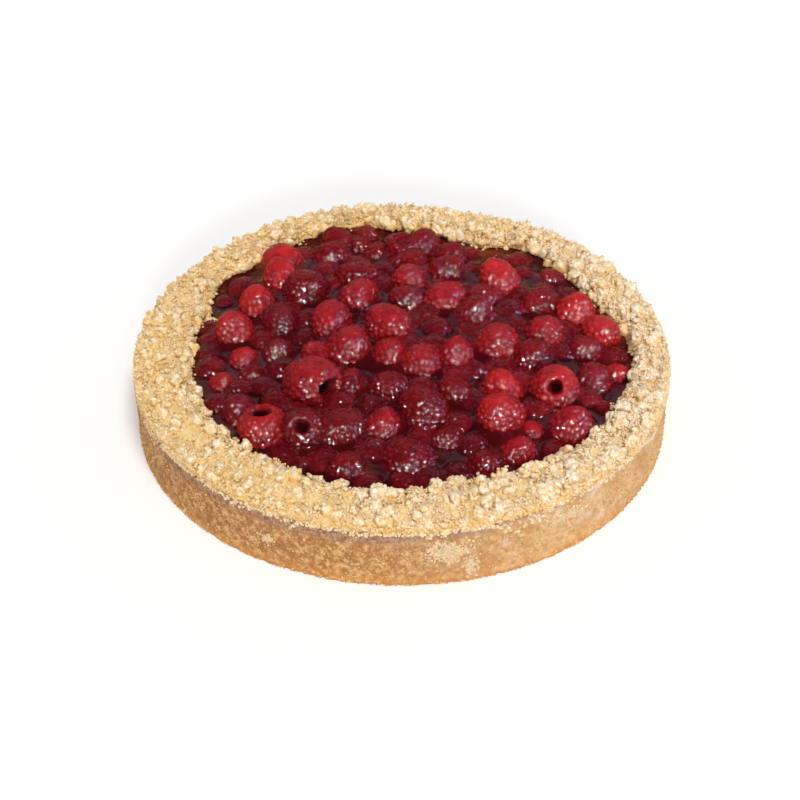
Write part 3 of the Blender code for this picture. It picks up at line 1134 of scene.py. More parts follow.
@dataclass(frozen=True)
class RaspberrySkin:
    """The form of a raspberry: a tapered, uneven ball of drupelets, with its hollow end where it shows.

    The depths and the bumps' height are shares of the berry's radius. The shake, the cap's reach and
    the groove's width are shares of a drupelet's size.
    """

    drupelet: float = 3.1 * MM
    row_height: float = 0.866
    shake: float = 0.16
    cap_reach: float = 0.60
    cap_depth: float = 0.070
    groove_width: float = 0.26
    groove_depth: float = 0.034
    painted_groove_shade: float = 0.40
    uneven_shade: float = 0.13
    gel_filled: Pair = (0.50, 0.97)
    bumps: float = 1.3
    bump_height: float = 0.07
    swell: float = 1.08
    taper: float = 0.18
    tall: float = 1.15
    broad: float = 1.09
    highest: float = 51.8 * MM
    pit_edge: Pair = (0.55, 1.15)
    pit_ragged: float = 0.40
    pit_notches: float = 1.9
    juice_height: float = 2.6 * MM
    juice_share: float = 0.6

    def drupelets(self, radius: float, draw: np.random.Generator) -> np.ndarray:
        """Return the directions of a berry's drupelets, evenly spread and slightly shaken.

        Args:
            radius: The berry's radius.
            draw: Source of the shaking.

        Returns:
            Unit vectors, one row each.
        """
        count = int(4.0 * math.pi * radius**2 / (self.row_height * self.drupelet**2))
        index = np.arange(count) + 0.5
        height = 1.0 - 2.0 * index / count
        angle = index * GOLDEN_TURN
        flat = np.sqrt(1.0 - height * height)
        places = np.stack((flat * np.cos(angle), flat * np.sin(angle), height), axis=1)
        places += draw.normal(0.0, self.shake * self.drupelet / radius, places.shape)
        return places / np.linalg.norm(places, axis=1, keepdims=True)

    def relief(
        self, berry: Berry, directions: np.ndarray, draw: np.random.Generator
    ) -> tuple[np.ndarray, np.ndarray, np.ndarray]:
        """Work out how a raspberry's drupelets stand out.

        Args:
            berry: The berry.
            directions: Unit vectors from its middle, in its own axes.
            draw: Source of their unevenness.

        Returns:
            For each direction the relief as a share of the radius, how far it lies in a groove, and its
            drupelet's shade.
        """
        centres = self.drupelets(berry.radius, draw)
        cosines = directions @ centres.T
        nearest = np.argmax(cosines, axis=1)
        ranked = np.partition(cosines, -2, axis=1)
        near = np.arccos(np.clip(ranked[:, -1], -1.0, 1.0)) * berry.radius
        second = np.arccos(np.clip(ranked[:, -2], -1.0, 1.0)) * berry.radius
        groove = np.exp(-(((second - near) / (self.groove_width * self.drupelet)) ** 2))
        cap = np.clip(1.0 - (near / (self.cap_reach * self.drupelet)) ** 2, 0.0, 1.0)
        shade = (1.0 + draw.normal(0.0, self.uneven_shade, len(centres)))[nearest]
        return self.cap_depth * (cap - 1.0) - self.groove_depth * groove, groove, shade

    def in_pit(self, pit: Pit, radius: float, directions: np.ndarray) -> np.ndarray:
        """Work out which part of a berry lies in its hollow end.

        Args:
            pit: The hollow end.
            radius: The berry's radius.
            directions: Unit vectors from its middle, in its own axes.

        Returns:
            For each direction how far it lies inside, from 0 to 1.
        """
        aside = np.arccos(np.clip(-directions[:, 2], -1.0, 1.0))
        aside *= 1.0 + self.pit_ragged * noise_at(directions * self.pit_notches + radius / MM, 1.0)
        return 1.0 - smooth(*(share * pit.width for share in self.pit_edge), aside)

    def shape(
        self, berry: Berry, directions: np.ndarray, draw: np.random.Generator
    ) -> tuple[np.ndarray, np.ndarray]:
        """Shape and colour one raspberry.

        Args:
            berry: The berry.
            directions: Unit vectors of a ball's vertices, in the tart's axes.
            draw: Source of its unevenness.

        Returns:
            The vertices in the tart's axes, and their colours.
        """
        turned = np.array(berry.pose.to_matrix())
        filled = berry.tone.filled * smooth(*self.gel_filled, directions[:, 2])
        directions = directions @ turned
        relief, groove, shade = self.relief(berry, directions, draw)
        bumps = noise_at(directions * self.bumps + draw.uniform(-9.0, 9.0, 3), 1.0)
        size = self.swell * (1.0 + relief * (1.0 - filled)) * (1.0 + self.bump_height * bumps)
        local = directions * (size * berry.radius)[:, None]
        local[:, :2] *= (1.0 - self.taper * directions[:, 2])[:, None]
        local[:, 2] *= self.tall
        colours = np.tile(np.array(berry.tone.colour), (len(directions), 1))
        # Painted shade: the grooves between drupelets are darkened where gel does not fill them.
        colours *= (shade * (1.0 - self.painted_groove_shade * groove * (1.0 - filled)))[:, None]
        # Painted light: the berry's colour is darkened towards the front left of the tart.
        colours *= painted_side_light(berry.middle.x, berry.middle.y)
        if berry.pit:
            sunk = self.in_pit(berry.pit, berry.radius, directions)
            local[:, 2] += sunk * berry.pit.depth * berry.radius
            # Painted shade: the hollow end darkens towards its bottom.
            colours *= (1.0 - berry.pit.shade * sunk**2)[:, None]
        points = local @ turned.T * np.array((self.broad, self.broad, 1.0)) + np.array(berry.middle)
        above = points[:, 2] - SIZES.dome(np.hypot(points[:, 0], points[:, 1]))
        juice = self.juice_share * (1.0 - smooth(0.0, self.juice_height, above))
        points[:, 2] = np.minimum(points[:, 2], self.highest)
        return points, blend(colours, THIN_GEL, juice)


@dataclass
class SetGel:
    """The gel that has set round the raspberries, from the case's floor up."""

    berries: list[Berry]
    skin: RaspberrySkin
    cells: int = 300
    soft: float = 1.2 * MM
    wave: float = 19.0 * MM
    wave_height: float = 1.0 * MM
    lowered: float = 0.2 * MM
    calm_rim: Pair = (2.0 * MM, 12.0 * MM)
    heap_dip: float = 0.8 * MM
    heap_reach: float = 88.0 * MM
    heap_edge: float = 0.6
    dips: tuple[tuple[float, float, float, float], ...] = (
        (55, 38, 9, 3.5), (55, -25, 9, 3.0), (-48, 24, 9, 3.0), (20, 90, 8, 1.5), (-10, 30, 7, 2.0),
    )
    low_film: float = 0.8 * MM
    meniscus: float = 2.8 * MM
    meniscus_reach: float = 4.2 * MM
    film_reach: float = 9.0 * MM
    film_tint: float = 0.8
    film_tint_reach: float = 3.0 * MM
    veil: float = 0.35 * MM
    veil_relief: float = 0.7
    painted_veil_groove_shade: float = 0.3
    veil_tint: float = 0.9
    veil_shows: Pair = (-1.0 * MM, 1.6 * MM)
    deep_colour: Colour = (0.030, 0.0014, 0.0028)
    edge_colour: Colour = (0.085, 0.0060, 0.0060)
    edge_width: Pair = (1.0 * MM, 9.0 * MM)
    amber_colour: Colour = (0.24, 0.050, 0.014)
    amber_share: float = 0.85
    amber_place: tuple[float, float, float] = (45.0 * MM, 95.0 * MM, 11.0 * MM)
    amber_flatness: float = 0.5

    def weight(self, height: np.ndarray) -> np.ndarray:
        """Return how strongly a height counts where films at several heights melt into one."""
        return np.exp((height - SIZES.case_height) / self.soft)

    def ground(self, x: np.ndarray, y: np.ndarray) -> np.ndarray:
        """Work out the gel between the raspberries: its dome with waves and dips.

        Args:
            x: Places along X.
            y: Places along Y.

        Returns:
            The heights.
        """
        reach = np.hypot(x, y)
        inside = SIZES.case_radius - SIZES.wall
        calm = smooth(*(inside - width for width in self.calm_rim), reach)
        flat = np.stack((x, y, np.zeros_like(x)), axis=1)
        waves = self.wave_height * noise_at(flat, self.wave)
        ground = SIZES.dome(reach) + calm * (waves - self.lowered)
        beside_heap = smooth(self.heap_edge * self.heap_reach, self.heap_reach, reach)
        ground -= self.heap_dip * (1.0 - beside_heap)
        for dip_x, dip_y, width, depth in self.dips:
            away = np.hypot(x - dip_x * MM, y - dip_y * MM)
            ground -= depth * MM * np.exp(-((away / (width * MM)) ** 2))
        return ground

    def depth_tint(self, x: np.ndarray, y: np.ndarray) -> np.ndarray:
        """Colour the gel between the raspberries: deep, with an edge and one amber spot.

        Args:
            x: Places along X.
            y: Places along Y.

        Returns:
            Linear colours, one row each.
        """
        tint = np.tile(np.array(self.deep_colour), (len(x), 1))
        brink = EDGE.radius(np.arctan2(y, x)) - np.hypot(x, y)
        tint = blend(tint, self.edge_colour, 1.0 - smooth(*self.edge_width, brink))
        amber_x, amber_y, width = self.amber_place
        depth = self.amber_flatness * width
        amber = np.exp(-(((x - amber_x) / width) ** 2) - ((y - amber_y) / depth) ** 2)
        return blend(tint, self.amber_colour, self.amber_share * amber)

    def climb(self, berry: Berry, away: np.ndarray, ground: np.ndarray) -> np.ndarray:
        """Work out the film that a raspberry draws up: over a low one, and round the foot of a high one.

        Args:
            berry: The berry.
            away: Distances from its middle.
            ground: The gel's heights there without it.

        Returns:
            The weight that the film adds at each place.
        """
        if berry.seat is Seat.LOW:
            film = berry.radius - self.low_film
            top = berry.middle.z + np.sqrt(np.maximum(film**2 - away**2, 0.0))
            return np.where(away < film, self.weight(top), 0.0)
        out = np.maximum(away - berry.contact, 0.0)
        top = ground + self.meniscus * np.exp(-((out / self.meniscus_reach) ** 2))
        return self.weight(top) - self.weight(ground)

    def veiled(self, number: int, aside: np.ndarray) -> tuple[np.ndarray, np.ndarray]:
        """Work out the gel's swell over a raspberry that it covers.

        Args:
            number: The berry's number, which is also the seed of its drupelets.
            aside: Offsets along X and Y from its middle, one row each.

        Returns:
            The swell's heights, and the berry's colours under it, with painted shade in its grooves.
        """
        berry = self.berries[number]
        film = berry.radius + self.veil
        up = np.sqrt(film**2 - np.sum(aside**2, axis=1))
        directions = np.column_stack((aside, up)) @ np.array(berry.pose.to_matrix()) / film
        relief, groove, shade = self.skin.relief(berry, directions, np.random.default_rng(number))
        top = berry.middle.z + up + self.veil_relief * relief * berry.radius
        # Painted shade: the grooves of the covered berry are darkened.
        return top, np.array(berry.tone.colour) * (shade * (1.0 - self.painted_veil_groove_shade * groove))[:, None]

    def surface(self, x: np.ndarray, y: np.ndarray) -> tuple[np.ndarray, np.ndarray]:
        """Work out the gel's surface.

        Args:
            x: Places along X.
            y: Places along Y.

        Returns:
            The gel's heights, and its linear colours there, one row each.
        """
        ground = self.ground(x, y)
        total = self.weight(ground)
        tint = self.depth_tint(x, y)
        for number, berry in enumerate(self.berries):
            away = np.hypot(x - berry.middle.x, y - berry.middle.y)
            if berry.seat.veiled:
                near = np.flatnonzero(away < berry.radius + self.veil)
                aside = np.stack((x[near] - berry.middle.x, y[near] - berry.middle.y), axis=1)
                top, colours = self.veiled(number, aside)
                total[near] += self.weight(top)
                showing = self.veil_tint * smooth(*self.veil_shows, top - ground[near])
                tint[near] = blend(tint[near], colours, showing)
            else:
                near = np.flatnonzero(away < berry.radius + self.film_reach)
                total[near] += self.climb(berry, away[near], ground[near])
                out = np.maximum(away[near] - berry.contact, 0.0)
                thin = self.film_tint * np.exp(-out / self.film_tint_reach)
                tint[near] = blend(tint[near], THIN_GEL, thin)
        heights = SIZES.case_height + self.soft * np.log(total)
        # Painted light: the gel's colour is darkened towards the front left of the tart.
        return heights, tint * painted_side_light(x, y)[:, None]

    def build(self) -> bpy.types.Object:
        """Build the gel as a closed solid inside the case, its top set round the raspberries.

        Returns:
            The gel.
        """
        bm = bmesh.new()
        bmesh.ops.create_grid(bm, x_segments=self.cells, y_segments=self.cells, size=1.0)
        points = coordinates(bm)
        across, along = points[:, 0].copy(), points[:, 1].copy()
        outside = SIZES.case_radius - SIZES.wall - SIZES.gap
        points[:, 0] = outside * across * np.sqrt(1.0 - along**2 / 2.0)
        points[:, 1] = outside * along * np.sqrt(1.0 - across**2 / 2.0)
        points[:, 2], colours = self.surface(points[:, 0], points[:, 1])
        rim = np.maximum(np.abs(across), np.abs(along)) > 1.0 - 1e-6
        points[rim, 2] = SIZES.case_height
        move_to(bm, points)
        boundary = [edge for edge in bm.edges if edge.is_boundary]
        floor = SIZES.base + SIZES.gap
        corner = SIZES.inner_corner
        for height, radius in ((floor + corner, outside), (floor, outside - corner)):
            grown = bmesh.ops.extrude_edge_only(bm, edges=boundary)["geom"]
            for vertex in (part for part in grown if isinstance(part, bmesh.types.BMVert)):
                vertex.co.xy *= radius / vertex.co.xy.length
                vertex.co.z = height
            edges = (part for part in grown if isinstance(part, bmesh.types.BMEdge))
            boundary = [edge for edge in edges if edge.is_boundary]
        bmesh.ops.contextual_create(bm, geom=boundary)
        below = len(bm.verts) - len(colours)
        gel = piece_from("set_gel", bm)
        paint(gel, "Juice", np.concatenate((colours, np.tile(self.deep_colour, (below, 1)))))
        return gel


@dataclass
class RaspberryFilling:
    """The raspberries and the gel that has set round them."""

    node: str = "raspberry_filling"
    slot: str = "raspberries_in_gel"
    berries: list[Berry] = field(default_factory=lambda: BerryPlaces().berries())
    skin: RaspberrySkin = RaspberrySkin()
    gel: SetGel = field(init=False)
    shown: tuple[Tone, ...] = (Tone.BRIGHT, Tone.PINK, Tone.DEEP, Tone.VEILED)
    divisions: int = 4
    finer_from: float = -0.35

    def __post_init__(self) -> None:
        """Let the gel set round the berries."""
        self.gel = SetGel(self.berries, self.skin)

    def build_berries(self, tone: Tone) -> bpy.types.Object:
        """Build every raspberry of one tone that stands out of the gel.

        Args:
            tone: The tone.

        Returns:
            One joined object.
        """
        batch = Batch(f"raspberries_{tone.name.lower()}")
        ball = Pattern.fine_above(self.divisions, 1, self.finer_from)
        for number, berry in enumerate(self.berries):
            if berry.tone is tone and not berry.seat.veiled:
                points, colours = self.skin.shape(berry, ball.points, np.random.default_rng(number))
                batch.add(points, ball.faces, colours)
        return batch.joined("Skin")

    def dress(self) -> None:
        """Build the filling's pieces, give them their finish and seat them on the tart."""
        seat_on_tart(self.gel.build(), GelFinish().material(), self.node, self.slot)
        for tone in self.shown:
            finish = BerryFinish(f"glazed_raspberry_{tone.name.lower()}")
            seat_on_tart(self.build_berries(tone), finish.material(), self.node, self.slot)


# Crumble border


@dataclass
class HeightField:
    """Heights on a square grid over the tart, on which loose crumbs come to rest and pile up."""

    half_width: float = 136.0 * MM
    spacing: float = 0.5 * MM
    heights: np.ndarray = field(init=False)

    def __post_init__(self) -> None:
        """Start with an empty grid."""
        count = int(2.0 * self.half_width / self.spacing) + 1
        self.heights = np.zeros((count, count))

    def grid(self) -> tuple[np.ndarray, np.ndarray]:
        """Return the X and Y places of the whole grid."""
        line = np.arange(len(self.heights)) * self.spacing - self.half_width
        return np.meshgrid(line, line, indexing="ij")

    def cell(self, place: float) -> int:
        """Return the row or column nearest to a place."""
        return int(round((place + self.half_width) / self.spacing))

    def at(self, x: float, y: float) -> float:
        """Return the height at a place."""
        return float(self.heights[self.cell(x), self.cell(y)])

    def cover(self, middle: Vector, radius: float) -> None:
        """Raise the heights to the top of a ball.

        Args:
            middle: The ball's middle.
            radius: The ball's radius.
        """
        reach = int(radius / self.spacing) + 1
        row, column = self.cell(middle.x), self.cell(middle.y)
        steps = np.arange(-reach, reach + 1) * self.spacing
        across, along = np.meshgrid(steps, steps, indexing="ij")
        inside = radius**2 - across**2 - along**2
        cap = np.where(inside > 0.0, middle.z + np.sqrt(np.maximum(inside, 0.0)), 0.0)
        window = self.heights[row - reach:row + reach + 1, column - reach:column + reach + 1]
        np.maximum(window, cap[:window.shape[0], :window.shape[1]], out=window)


@dataclass(frozen=True)
class Sieve:
    """One size of crumb: how many lie on the border, their radii, how far they sink in and their knobs."""

    name: str
    count: int
    smallest: float
    largest: float
    divisions: int
    sunk: float
    knobs: int
    smooth_faces: bool
    toward_small: float = 1.6

    def radius(self, coarse: float, draw: random.Random) -> float:
        """Return a crumb's radius, more often a small one, from a share of the sieve's range."""
        return self.smallest + (self.largest - self.smallest) * coarse * draw.random() ** self.toward_small


@dataclass(frozen=True)
class CrumbShapes:
    """The lumpy shapes that crumbs are copies of."""

    count: int = 14
    seed: int = 5
    core: float = 0.80
    knob_height: float = 0.34
    knob_narrowness: float = 0.45
    uneven: float = 0.16
    uneven_size: float = 0.7
    stretch: Pair = (0.80, 1.15)
    proud_from: float = 0.75
    proud_full: float = 1.15

    def made(self, sieve: Sieve) -> list[tuple[Pattern, np.ndarray]]:
        """Make the shapes for one sieve.

        Args:
            sieve: The crumb size.

        Returns:
            The shapes, each about 1 in radius, with how far every vertex stands out, from 0 to 1.
        """
        ball = Pattern.ball(sieve.divisions)
        draw = np.random.default_rng(self.seed)
        shapes = []
        for _ in range(self.count):
            knobs = draw.normal(size=(sieve.knobs, 3))
            knobs /= np.linalg.norm(knobs, axis=1, keepdims=True)
            away = 1.0 - np.max(ball.points @ knobs.T, axis=1)
            knob = np.clip(1.0 - self.knob_narrowness * sieve.knobs * away, 0.0, 1.0)
            size = self.core + self.knob_height * knob
            size += self.uneven * noise_at(ball.points + draw.uniform(-20.0, 20.0, 3), self.uneven_size, 2)
            points = ball.points * size[:, None] * draw.uniform(*self.stretch, 3)
            shapes.append((Pattern(points, ball.faces), smooth(self.proud_from, self.proud_full, size)))
        return shapes


@dataclass(frozen=True)
class CrumbBake:
    """How a crumb's colour follows its place: floury at the right, golden low down, juicy at the edges."""

    cream: Colour = (0.85, 0.69, 0.385)
    floury: Colour = (0.92, 0.87, 0.76)
    # Golden is a baked colour, and also the colour of the painted shade in hollows and underneath.
    golden: Colour = (0.86, 0.545, 0.165)
    crevice_painted_shade: Colour = (0.70, 0.295, 0.068)
    brown: Colour = (0.40, 0.17, 0.05)
    stained: Colour = (0.30, 0.12, 0.10)
    patch: float = 9.0 * MM
    patch_jitter: float = 0.45
    floury_share: float = 0.26
    floury_in_patch: float = 0.55
    floury_at_right: float = 0.50
    golden_share: float = 0.45
    golden_when_low: float = 0.50
    golden_off_patch: float = 0.5
    golden_limit: float = 0.9
    small: float = 2.0 * MM
    browned: float = 0.02
    brown_share: float = 0.5
    front_share: float = 0.4
    edge_width: float = 2.5 * MM
    juicy_below: float = 0.5
    juicy_inside: float = 0.22
    juicy_outside: float = 0.14
    juice_share: Pair = (0.3, 0.8)
    unevenness: Pair = (0.92, 1.03)
    brightness: float = 0.97
    left_shade: float = 0.06
    right_shade: float = 0.02
    hollow_painted_shade: float = 0.58
    under_painted_shade: float = 0.75
    shade_under_middle: float = 0.35
    shade_under_rate: float = 0.75
    flour_and_highlight_height: Pair = (0.25, 0.85)
    flour_and_highlight_on_top: float = 0.70
    crevice_shade_depth: Pair = (0.55, 1.0)
    crevice_shade_share: float = 0.8

    def colour(self, middle: Vector, lifted: float, sieve: Sieve, draw: random.Random) -> np.ndarray:
        """Choose a crumb's colour from its place.

        Args:
            middle: The crumb's middle.
            lifted: Its height as a share of the border's.
            sieve: The crumb size.
            draw: Source of the unevenness.

        Returns:
            A linear colour.
        """
        patch = noise.noise(middle / self.patch) + draw.uniform(-self.patch_jitter, self.patch_jitter)
        side = middle.x / SIZES.case_radius - self.front_share * middle.y / SIZES.case_radius
        floury = self.floury_share + self.floury_in_patch * patch + self.floury_at_right * side
        colour = toward(np.array(self.cream), self.floury, min(max(floury, 0.0), 1.0))
        golden = self.golden_share - self.golden_when_low * lifted - self.golden_off_patch * patch
        colour = toward(colour, self.golden, min(max(golden, 0.0), self.golden_limit))
        if sieve.largest < self.small:
            reach = math.hypot(middle.x, middle.y)
            inwards = reach - float(EDGE.radius(math.atan2(middle.y, middle.x)))
            outwards = SIZES.crumble_radius - reach
            if draw.random() < self.browned:
                colour = toward(colour, self.brown, self.brown_share)
            if inwards < self.edge_width and draw.random() < self.juicy_inside:
                colour = toward(colour, self.stained, draw.uniform(*self.juice_share))
            low_outside = outwards < self.edge_width and lifted < self.juicy_below
            if low_outside and draw.random() < self.juicy_outside:
                colour = toward(colour, self.stained, draw.uniform(*self.juice_share))
        shade = self.brightness + self.left_shade * min(side, 0.0) - self.right_shade * max(side, 0.0)
        return colour * draw.uniform(*self.unevenness) * shade

    def shaded(self, colour: np.ndarray, height: np.ndarray, proud: np.ndarray) -> np.ndarray:
        """Colour a crumb's vertices: painted shade in hollows and underneath, flour and painted highlight
        on top.

        Args:
            colour: The crumb's colour.
            height: Heights above its middle, as shares of its radius.
            proud: How far the vertices stand out, from 0 to 1.

        Returns:
            Linear colours, one row for each vertex.
        """
        # Painted shade: the crumb's lower side and its hollows between knobs turn golden.
        under = np.clip(self.shade_under_middle - self.shade_under_rate * height, 0.0, 1.0)
        plain = (1.0 - self.hollow_painted_shade * (1.0 - proud)) * (1.0 - self.under_painted_shade * under)
        colours = blend(np.tile(colour, (len(height), 1)), self.golden, 1.0 - plain)
        # Flour and a painted highlight on the crumb's upper, outstanding parts.
        dusted = smooth(*self.flour_and_highlight_height, height) * proud
        colours = blend(colours, self.floury, self.flour_and_highlight_on_top * dusted)
        # Painted shade: the lowest part of the underside turns a dark orange-brown.
        return blend(colours, self.crevice_painted_shade, self.crevice_shade_share * smooth(*self.crevice_shade_depth, under))


@dataclass
class CrumbleBorder:
    """The ring of butter crumble: a lumpy bed under clumps, crumbs and fine crumbs."""

    node: str = "crumble_border"
    slot: str = "butter_crumble"
    rise: float = 6.4 * MM
    overhang: float = 0.5 * MM
    spill_limit: float = 80.0 * MM
    lump: float = 6.0 * MM
    lump_height: float = 1.2 * MM
    steps: int = 320
    golden_low: float = 2.0 * MM
    cream_low: float = 0.35
    cream_more: float = 0.4
    seed: int = 5
    usual_size: float = 0.84
    size_swing: float = 0.16
    coarsest_turn: float = 0.4
    packing: float = 0.9
    on_slopes: float = 0.44
    on_outer_slope: float = 0.18
    outer_slope: tuple[tuple[float, ...], ...] = ((0.0, 0.5, 0.8, 1.1), (1.0, 0.98, 0.90, 0.72))
    inner_slope: tuple[tuple[float, ...], ...] = ((0.0, 0.4, 0.9), (0.0, 0.07, 0.32))
    slope_sunk: float = 0.3
    slope_seat: float = 0.5
    slope_top: float = 0.95
    tongue_turn: float = 2.88
    tongue_width: float = 0.06
    spill: float = 2.2 * MM
    spilled: float = 0.18
    tongue_spill: float = 3.6
    loose_spill: float = 3.0
    loose_level: float = 5.0
    loose_rate: float = 6.0
    edge_seat: float = 0.4
    rest: float = 0.45
    rolls: float = 1.5 * MM
    hollows_tried: int = 3
    top: float = 41.4 * MM
    under_gap: float = 0.02 * MM
    side_gap: float = 0.15 * MM
    sieves: tuple[Sieve, ...] = (
        Sieve("crumble_clumps", 600, 2.0 * MM, 4.2 * MM, 3, 0.40, 16, True),
        Sieve("crumble_crumbs", 2250, 0.9 * MM, 1.9 * MM, 2, 0.15, 8, True),
        Sieve("crumble_grains", 9300, 0.60 * MM, 1.15 * MM, 1, 0.05, 4, True),
        Sieve("crumble_fines", 5000, 0.45 * MM, 0.90 * MM, 1, 0.0, 4, True),
    )
    profile: tuple[Pair, ...] = (
        (0.0, 0.0), (0.0, 0.25), (0.06, 0.42), (0.14, 0.60), (0.23, 0.76), (0.32, 0.88), (0.42, 0.96),
        (0.52, 1.0), (0.62, 1.0), (0.72, 0.97), (0.80, 0.92), (0.88, 0.82), (0.94, 0.66), (0.98, 0.45),
        (1.0, 0.22), (0.99, 0.0), (0.80, 0.0), (0.60, 0.0), (0.40, 0.0), (0.20, 0.0),
    )
    shapes: CrumbShapes = CrumbShapes()
    bake: CrumbBake = CrumbBake()
    heap: HeightField = field(default_factory=HeightField)

    @property
    def underside(self) -> float:
        """Return the height that the crumble lies at."""
        return SIZES.case_height + SIZES.gap

    def bed_height(self, share: np.ndarray) -> np.ndarray:
        """Return the bed's rise above its underside at shares of the way outwards."""
        upper = [pair for pair in self.profile if pair[1] > 0.0]
        return self.rise * np.interp(share, [pair[0] for pair in upper], [pair[1] for pair in upper])

    def build_bed(self) -> bpy.types.Object:
        """Build the bed: the ring under the loose crumbs.

        Returns:
            The bed.
        """
        bm = spun([(1.0 + share, rise) for share, rise in self.profile], self.steps, ring=True)
        points = coordinates(bm)
        turn = np.arctan2(points[:, 1], points[:, 0])
        share = np.hypot(points[:, 0], points[:, 1]) - 1.0
        inner = EDGE.radius(turn)
        radius = inner + share * (SIZES.crumble_radius - self.overhang - inner)
        upper = points[:, 2] > 0.01
        height = self.underside + points[:, 2] * self.rise
        placed = np.stack((radius * np.cos(turn), radius * np.sin(turn), height), axis=1)
        lumps = self.lump_height * noise_at(placed, self.lump, 3)
        placed[upper, 2] += lumps[upper]
        placed[:, 2] = np.maximum(placed[:, 2], self.underside)
        move_to(bm, placed)
        bed = piece_from("crumble_bed", bm)
        lifted = smooth(self.golden_low, self.rise, placed[:, 2] - self.underside)
        golden = np.tile(self.bake.golden, (len(placed), 1))
        paint(bed, "Bake", blend(golden, self.bake.cream, self.cream_low + self.cream_more * lifted))
        return bed

    def settle(self, gel: SetGel) -> None:
        """Start the heap with the gel and the bed, before any crumb lies on them.

        Args:
            gel: The gel that some crumbs lie on.
        """
        x, y = self.heap.grid()
        flat_x, flat_y = x.ravel(), y.ravel()
        reach = np.hypot(flat_x, flat_y)
        inner = EDGE.radius(np.arctan2(flat_y, flat_x))
        share = (reach - inner) / (SIZES.crumble_radius - inner)
        heights = np.full(len(flat_x), SIZES.case_height)
        bare = (share < 0.0) & (reach > self.spill_limit)
        heights[bare] = gel.surface(flat_x[bare], flat_y[bare])[0]
        bed = (share >= 0.0) & (share <= 1.0)
        heights[bed] = self.underside + self.bed_height(share[bed])
        self.heap.heights = heights.reshape(x.shape)

    def slope_place(self, radius: float, turn: float, outer: bool, draw: random.Random) -> Vector:
        """Choose where a crumb sticks to one of the border's two slopes.

        Args:
            radius: The crumb's radius.
            turn: Its turn round the tart from +X in radians.
            outer: True for the outer slope.
            draw: Source of the place.

        Returns:
            The crumb's middle.
        """
        inner = float(EDGE.radius(turn))
        limit = SIZES.crumble_radius + self.overhang - radius
        lift = draw.random()
        share = float(np.interp(lift, *(self.outer_slope if outer else self.inner_slope)))
        sunk = 0.0 if outer else self.slope_sunk * radius
        reach = min(inner + share * (limit + radius - inner) - sunk, limit)
        height = self.underside + radius * self.slope_seat + lift * self.rise * self.slope_top
        return Vector((reach * math.cos(turn), reach * math.sin(turn), height))

    def top_place(self, sieve: Sieve, radius: float, turn: float, draw: random.Random) -> Vector:
        """Choose where a crumb comes to rest on the heap, or where it spills over onto the gel.

        Args:
            sieve: The crumb size.
            radius: The crumb's radius.
            turn: Its turn round the tart from +X in radians.
            draw: Source of the place.

        Returns:
            The crumb's middle.
        """
        tongue = math.exp(-(((turn - self.tongue_turn) / self.tongue_width) ** 2))
        way = Vector((math.cos(turn), math.sin(turn), self.loose_level))
        loose = max(noise.noise(way * self.loose_rate), 0.0)
        spill = 0.0
        if draw.random() < max(self.spilled, tongue):
            spill = self.spill * (1.0 + self.tongue_spill * tongue + self.loose_spill * loose)
        start = float(EDGE.radius(turn)) - spill + radius * self.edge_seat
        limit = SIZES.crumble_radius + self.overhang - radius
        tries = self.hollows_tried if sieve.largest < self.rolls and not spill else 1
        reaches = [math.sqrt(draw.uniform(start**2, limit**2)) for _ in range(tries)]
        spots = [(reach * math.cos(turn), reach * math.sin(turn)) for reach in reaches]
        x, y = min(spots, key=lambda spot: self.heap.at(*spot))
        height = self.heap.at(x, y) + radius * (self.rest - sieve.sunk)
        return Vector((x, y, min(height, self.top - radius)))

    def inside(self, points: np.ndarray) -> np.ndarray:
        """Keep a crumb above the border's underside and within the case's side.

        Args:
            points: The crumb's vertices, which are moved where they have to be.

        Returns:
            The same vertices.
        """
        points[:, 2] = np.maximum(points[:, 2], self.underside + self.under_gap)
        reach = np.hypot(points[:, 0], points[:, 1])
        points[:, :2] *= np.minimum(1.0, (SIZES.case_radius - self.side_gap) / reach)[:, None]
        return points

    def build_crumbs(self, sieve: Sieve) -> bpy.types.Object:
        """Scatter one sieve's crumbs over the border.

        Args:
            sieve: The crumb size.

        Returns:
            One joined object.
        """
        batch = Batch(sieve.name)
        shapes = self.shapes.made(sieve)
        draw = random.Random(f"{self.seed}{sieve.name}")
        for _ in range(sieve.count):
            turn = draw.uniform(0.0, math.tau)
            coarse = self.usual_size + self.size_swing * math.cos(turn - self.coarsest_turn)
            radius = sieve.radius(coarse, draw)
            kind = draw.random()
            if kind < self.on_slopes:
                middle = self.slope_place(radius, turn, kind < self.on_outer_slope, draw)
            else:
                middle = self.top_place(sieve, radius, turn, draw)
            self.heap.cover(middle, radius * self.packing)
            shape, proud = draw.choice(shapes)
            points = self.inside((shape.points * radius) @ any_tilt(draw).T + np.array(middle))
            colour = self.bake.colour(middle, (middle.z - self.underside) / self.rise, sieve, draw)
            colours = self.bake.shaded(colour, (points[:, 2] - middle.z) / radius, proud)
            batch.add(points, shape.faces, colours)
        return batch.joined("Bake", sieve.smooth_faces)

    def dress(self, gel: SetGel) -> None:
        """Build the border's pieces, give them their finish and seat them on the tart.

        Args:
            gel: The gel that the border lies against.
        """
        self.settle(gel)
        seat_on_tart(self.build_bed(), CrumbFinish("crumble_bed").material(), self.node, self.slot)
        for sieve in self.sieves:
            seat_on_tart(self.build_crumbs(sieve), CrumbFinish(sieve.name).material(), self.node, self.slot)


# Pastry case


@dataclass(frozen=True)
class StuckCrumb:
    """One crumb that sticks to the case: its turn from +X in radians, its height, radius and colour."""

    turn: float
    height: float
    radius: float
    colour: np.ndarray


